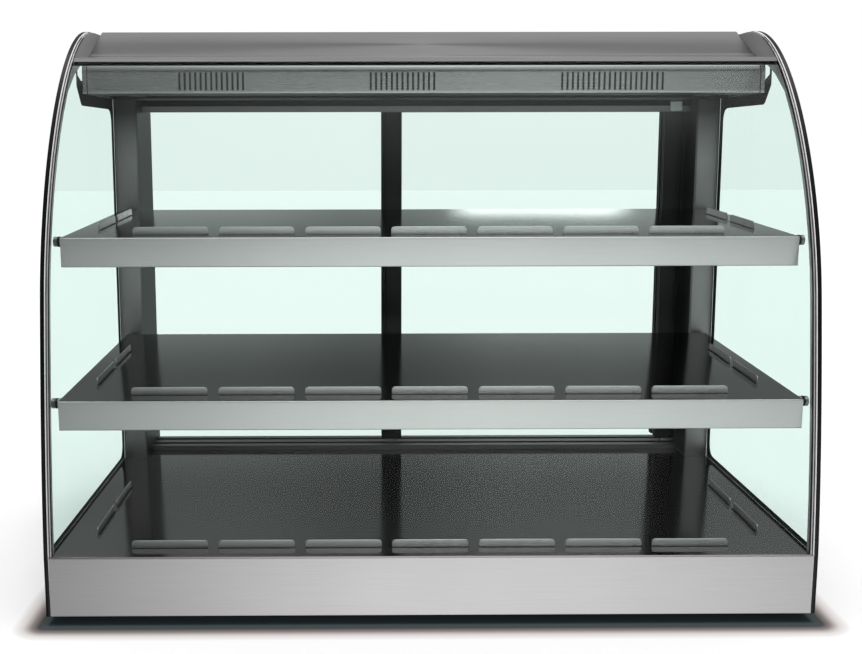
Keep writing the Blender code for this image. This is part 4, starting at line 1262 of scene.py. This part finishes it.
@dataclass
class Studio:
    """Pale floor, soft light and the camera."""

    white: float = 1.01
    camera_place: Triple = (-0.0744, -1.4982, 0.5579)
    lens: float = 46.41
    shift: Point = (0.0669, -0.0291)
    pan: float = -0.3312
    down: float = 8.0855
    roll: float = -0.1092
    # Painted contact shadow under the case, from the middle outwards, and then the pale floor
    painted_shadow_tones: tuple[tuple[float, str], ...] = (
        (0.0, "4a5a5c"), (0.33, "465254"), (0.48, "4a4b4b"),
        (0.62, "8b8280"), (0.78, "d6d1cf"), (1.0, "f6f6f6"),
    )
    # Brightness of the surround: across from left to right and from the floor to the ceiling,
    # where 0.5 is straight ahead, and one bright card as sides, edges and level
    front_across: tuple[Point, ...] = (
        (0.20, 0.15), (0.355, 0.22), (0.40, 0.42), (0.44, 0.70), (0.48, 0.92),
        (0.52, 1.0), (0.60, 0.96), (0.63, 0.86), (0.66, 0.70), (0.72, 0.42),
    )
    front_up: tuple[Point, ...] = (
        (0.0, 0.7), (0.25, 1.3), (0.40, 1.5), (0.472, 1.5), (0.496, 0.25), (0.565, 0.25),
        (0.60, 0.6), (0.84, 0.7), (0.91, 1.4), (0.95, 2.2), (1.0, 2.2),
    )
    front_card: tuple[Point, Point, float] = ((0.55, 0.61), (0.505, 0.60), 0.5)
    rear_across: tuple[Point, ...] = (
        (0.30, 1.2), (0.45, 1.0), (0.49, 0.75), (0.52, 0.75), (0.56, 1.1), (0.70, 1.2),
    )
    rear_up: tuple[Point, ...] = (
        (0.0, 0.5), (0.35, 0.5), (0.49, 0.42), (0.56, 0.40), (0.60, 0.36),
        (0.64, 0.24), (0.67, 0.16), (0.80, 0.28), (0.93, 0.40), (0.955, 2.0),
    )
    rear_card: tuple[Point, Point, float] = ((0.541, 0.612), (0.53, 0.583), 1.8)
    card_softness: float = 0.006
    sun_strength: float = 1.62
    sun_width: float = 25.0
    sun_lean: float = 6.0

    def camera(self) -> None:
        """Camera at the eye height of someone who stands back from the counter."""
        data = bpy.data.cameras.new("camera")
        data.lens = self.lens
        data.sensor_width = 36.0
        data.shift_x, data.shift_y = self.shift
        made = bpy.data.objects.new("camera", data)
        bpy.context.scene.collection.objects.link(made)
        turn = Matrix.Rotation(math.radians(self.pan), 4, "Z")
        turn = turn @ Matrix.Rotation(math.radians(90 - self.down), 4, "X")
        turn = turn @ Matrix.Rotation(math.radians(self.roll), 4, "Z")
        made.matrix_world = Matrix.Translation(self.camera_place) @ turn
        bpy.context.scene.camera = made

    def floor(self) -> None:
        """Pale matt floor with a contact shadow painted round the case's footprint."""
        bm = bmesh.new()
        bmesh.ops.create_grid(bm, x_segments=2, y_segments=2, size=12.0)
        mesh = bpy.data.meshes.new("floor")
        bm.to_mesh(mesh)
        bm.free()
        paint = bpy.data.materials.new("pale_floor_painted_shadow")
        paint.use_nodes = True
        tree = paint.node_tree
        tree.nodes.clear()
        spot = add_node(tree, "ShaderNodeTexCoord").outputs["Object"]
        away = add_node(tree, VECTOR_MATHS, {0: spot}, operation="ABSOLUTE").outputs[0]
        edge = (CAD_BOX[1][0], CAD_BOX[1][1], 0.0)
        past = add_node(tree, VECTOR_MATHS, {0: away, 1: edge}, operation="SUBTRACT").outputs[0]
        past = add_node(tree, VECTOR_MATHS, {0: past, 1: (0.0, 0.0, 0.0)}, operation="MAXIMUM").outputs[0]
        gap = add_node(tree, VECTOR_MATHS, {0: past}, operation="LENGTH").outputs["Value"]
        reach = add_node(tree, RANGE, {"Value": gap, "From Min": -0.02, "From Max": 0.04}).outputs[0]
        stops = [(position, linear(colour)) for position, colour in self.painted_shadow_tones]
        tone = add_node(tree, RAMP, {"Fac": reach}, stops).outputs[0]
        shader = add_node(tree, "ShaderNodeBsdfDiffuse", {"Color": tone}).outputs[0]
        add_node(tree, "ShaderNodeOutputMaterial", {"Surface": shader})
        mesh.materials.append(paint)
        made = bpy.data.objects.new("floor", mesh)
        bpy.context.scene.collection.objects.link(made)
        made.visible_glossy = False

    def world(self) -> None:
        """White surround for the eye; a soft studio for diffuse light and reflections."""
        world = bpy.data.worlds.new("studio")
        bpy.context.scene.world = world
        world.use_nodes = True
        tree = world.node_tree
        tree.nodes.clear()
        way = add_node(tree, "ShaderNodeTexCoord").outputs["Generated"]
        parts = add_node(tree, "ShaderNodeSeparateXYZ", {"Vector": way})
        half = {}
        for axis in "XYZ":
            half[axis] = add_node(tree, RANGE, {"Value": parts.outputs[axis], "From Min": -1.0}).outputs[0]
        lights = []
        for across_stops, up_stops, card in (
            (self.front_across, self.front_up, self.front_card),
            (self.rear_across, self.rear_up, self.rear_card),
        ):
            sweep = add_node(tree, RAMP, {"Fac": half["X"]}, list(across_stops)).outputs[0]
            rise = add_node(tree, RAMP, {"Fac": half["Z"]}, list(up_stops)).outputs[0]
            light = add_node(tree, MATHS, {0: sweep, 1: rise}, operation="MULTIPLY").outputs[0]
            patch = self.patch(tree, half, *card)
            lights.append(add_node(tree, MATHS, {0: light, 1: patch}, operation="ADD").outputs[0])
        turned = {"Value": parts.outputs["Y"], "From Min": -0.15, "From Max": 0.15}
        back = add_node(tree, RANGE, turned).outputs[0]
        seen = add_node(tree, "ShaderNodeMix", {"Factor": back, 2: lights[0], 3: lights[1]}).outputs[0]
        direct = add_node(tree, "ShaderNodeLightPath").outputs["Is Camera Ray"]
        final = add_node(tree, "ShaderNodeMix", {"Factor": direct, 2: seen, 3: self.white}).outputs[0]
        glow = add_node(tree, "ShaderNodeBackground", {"Color": (1, 1, 1, 1), "Strength": final}).outputs[0]
        add_node(tree, "ShaderNodeOutputWorld", {"Surface": glow})

    def patch(
        self, tree: Tree, half: dict[str, Socket], xs: Point, zs: Point, level: float,
    ) -> Socket:
        """A bright card in the surround.

        Args:
            tree: the world's node tree.
            half: the view direction's parts, brought to 0..1.
            xs: its two sides.
            zs: its lower and upper edge.
            level: its brightness.

        Returns:
            The card's light.
        """
        soft, sides = self.card_softness, []
        for axis, (start, stop), most in (("X", xs, 1.0), ("Z", zs, level)):
            stops = [(start - soft, 0.0), (start + soft, most), (stop - soft, most), (stop + soft, 0.0)]
            sides.append(add_node(tree, RAMP, {"Fac": half[axis]}, stops).outputs[0])
        return add_node(tree, MATHS, {0: sides[0], 1: sides[1]}, operation="MULTIPLY").outputs[0]

    def lamps(self) -> None:
        """A broad overhead source that whitens the floor and casts a soft shadow; the dark band at the case's
        foot is painted on the floor.
        """
        data = bpy.data.lights.new("overhead", "SUN")
        data.energy = self.sun_strength
        data.angle = math.radians(self.sun_width)
        made = bpy.data.objects.new("overhead", data)
        bpy.context.scene.collection.objects.link(made)
        made.matrix_world = Matrix.Rotation(math.radians(self.sun_lean), 4, "X")
        made.visible_glossy = False

    def build(self) -> None:
        """Set up everything that is not the case."""
        self.floor()
        self.world()
        self.lamps()
        self.camera()
        bpy.context.scene.view_settings.view_transform = "Standard"


def main() -> None:
    """Build every sub-assembly in order, then the studio."""
    logging.basicConfig(level=logging.INFO, format="%(name)s %(message)s")
    assemblies: list[SubAssembly] = [
        Base(), Shelving(), Glazing(), Canopy(), RearFrame(), SlidingDoor("left"), SlidingDoor("right"),
    ]
    for assembly in assemblies:
        assembly.build()
        LOG.info("%s has %d new pieces", type(assembly).__name__, len(assembly.pieces))
    Studio().build()


if __name__ == "__main__":
    main()
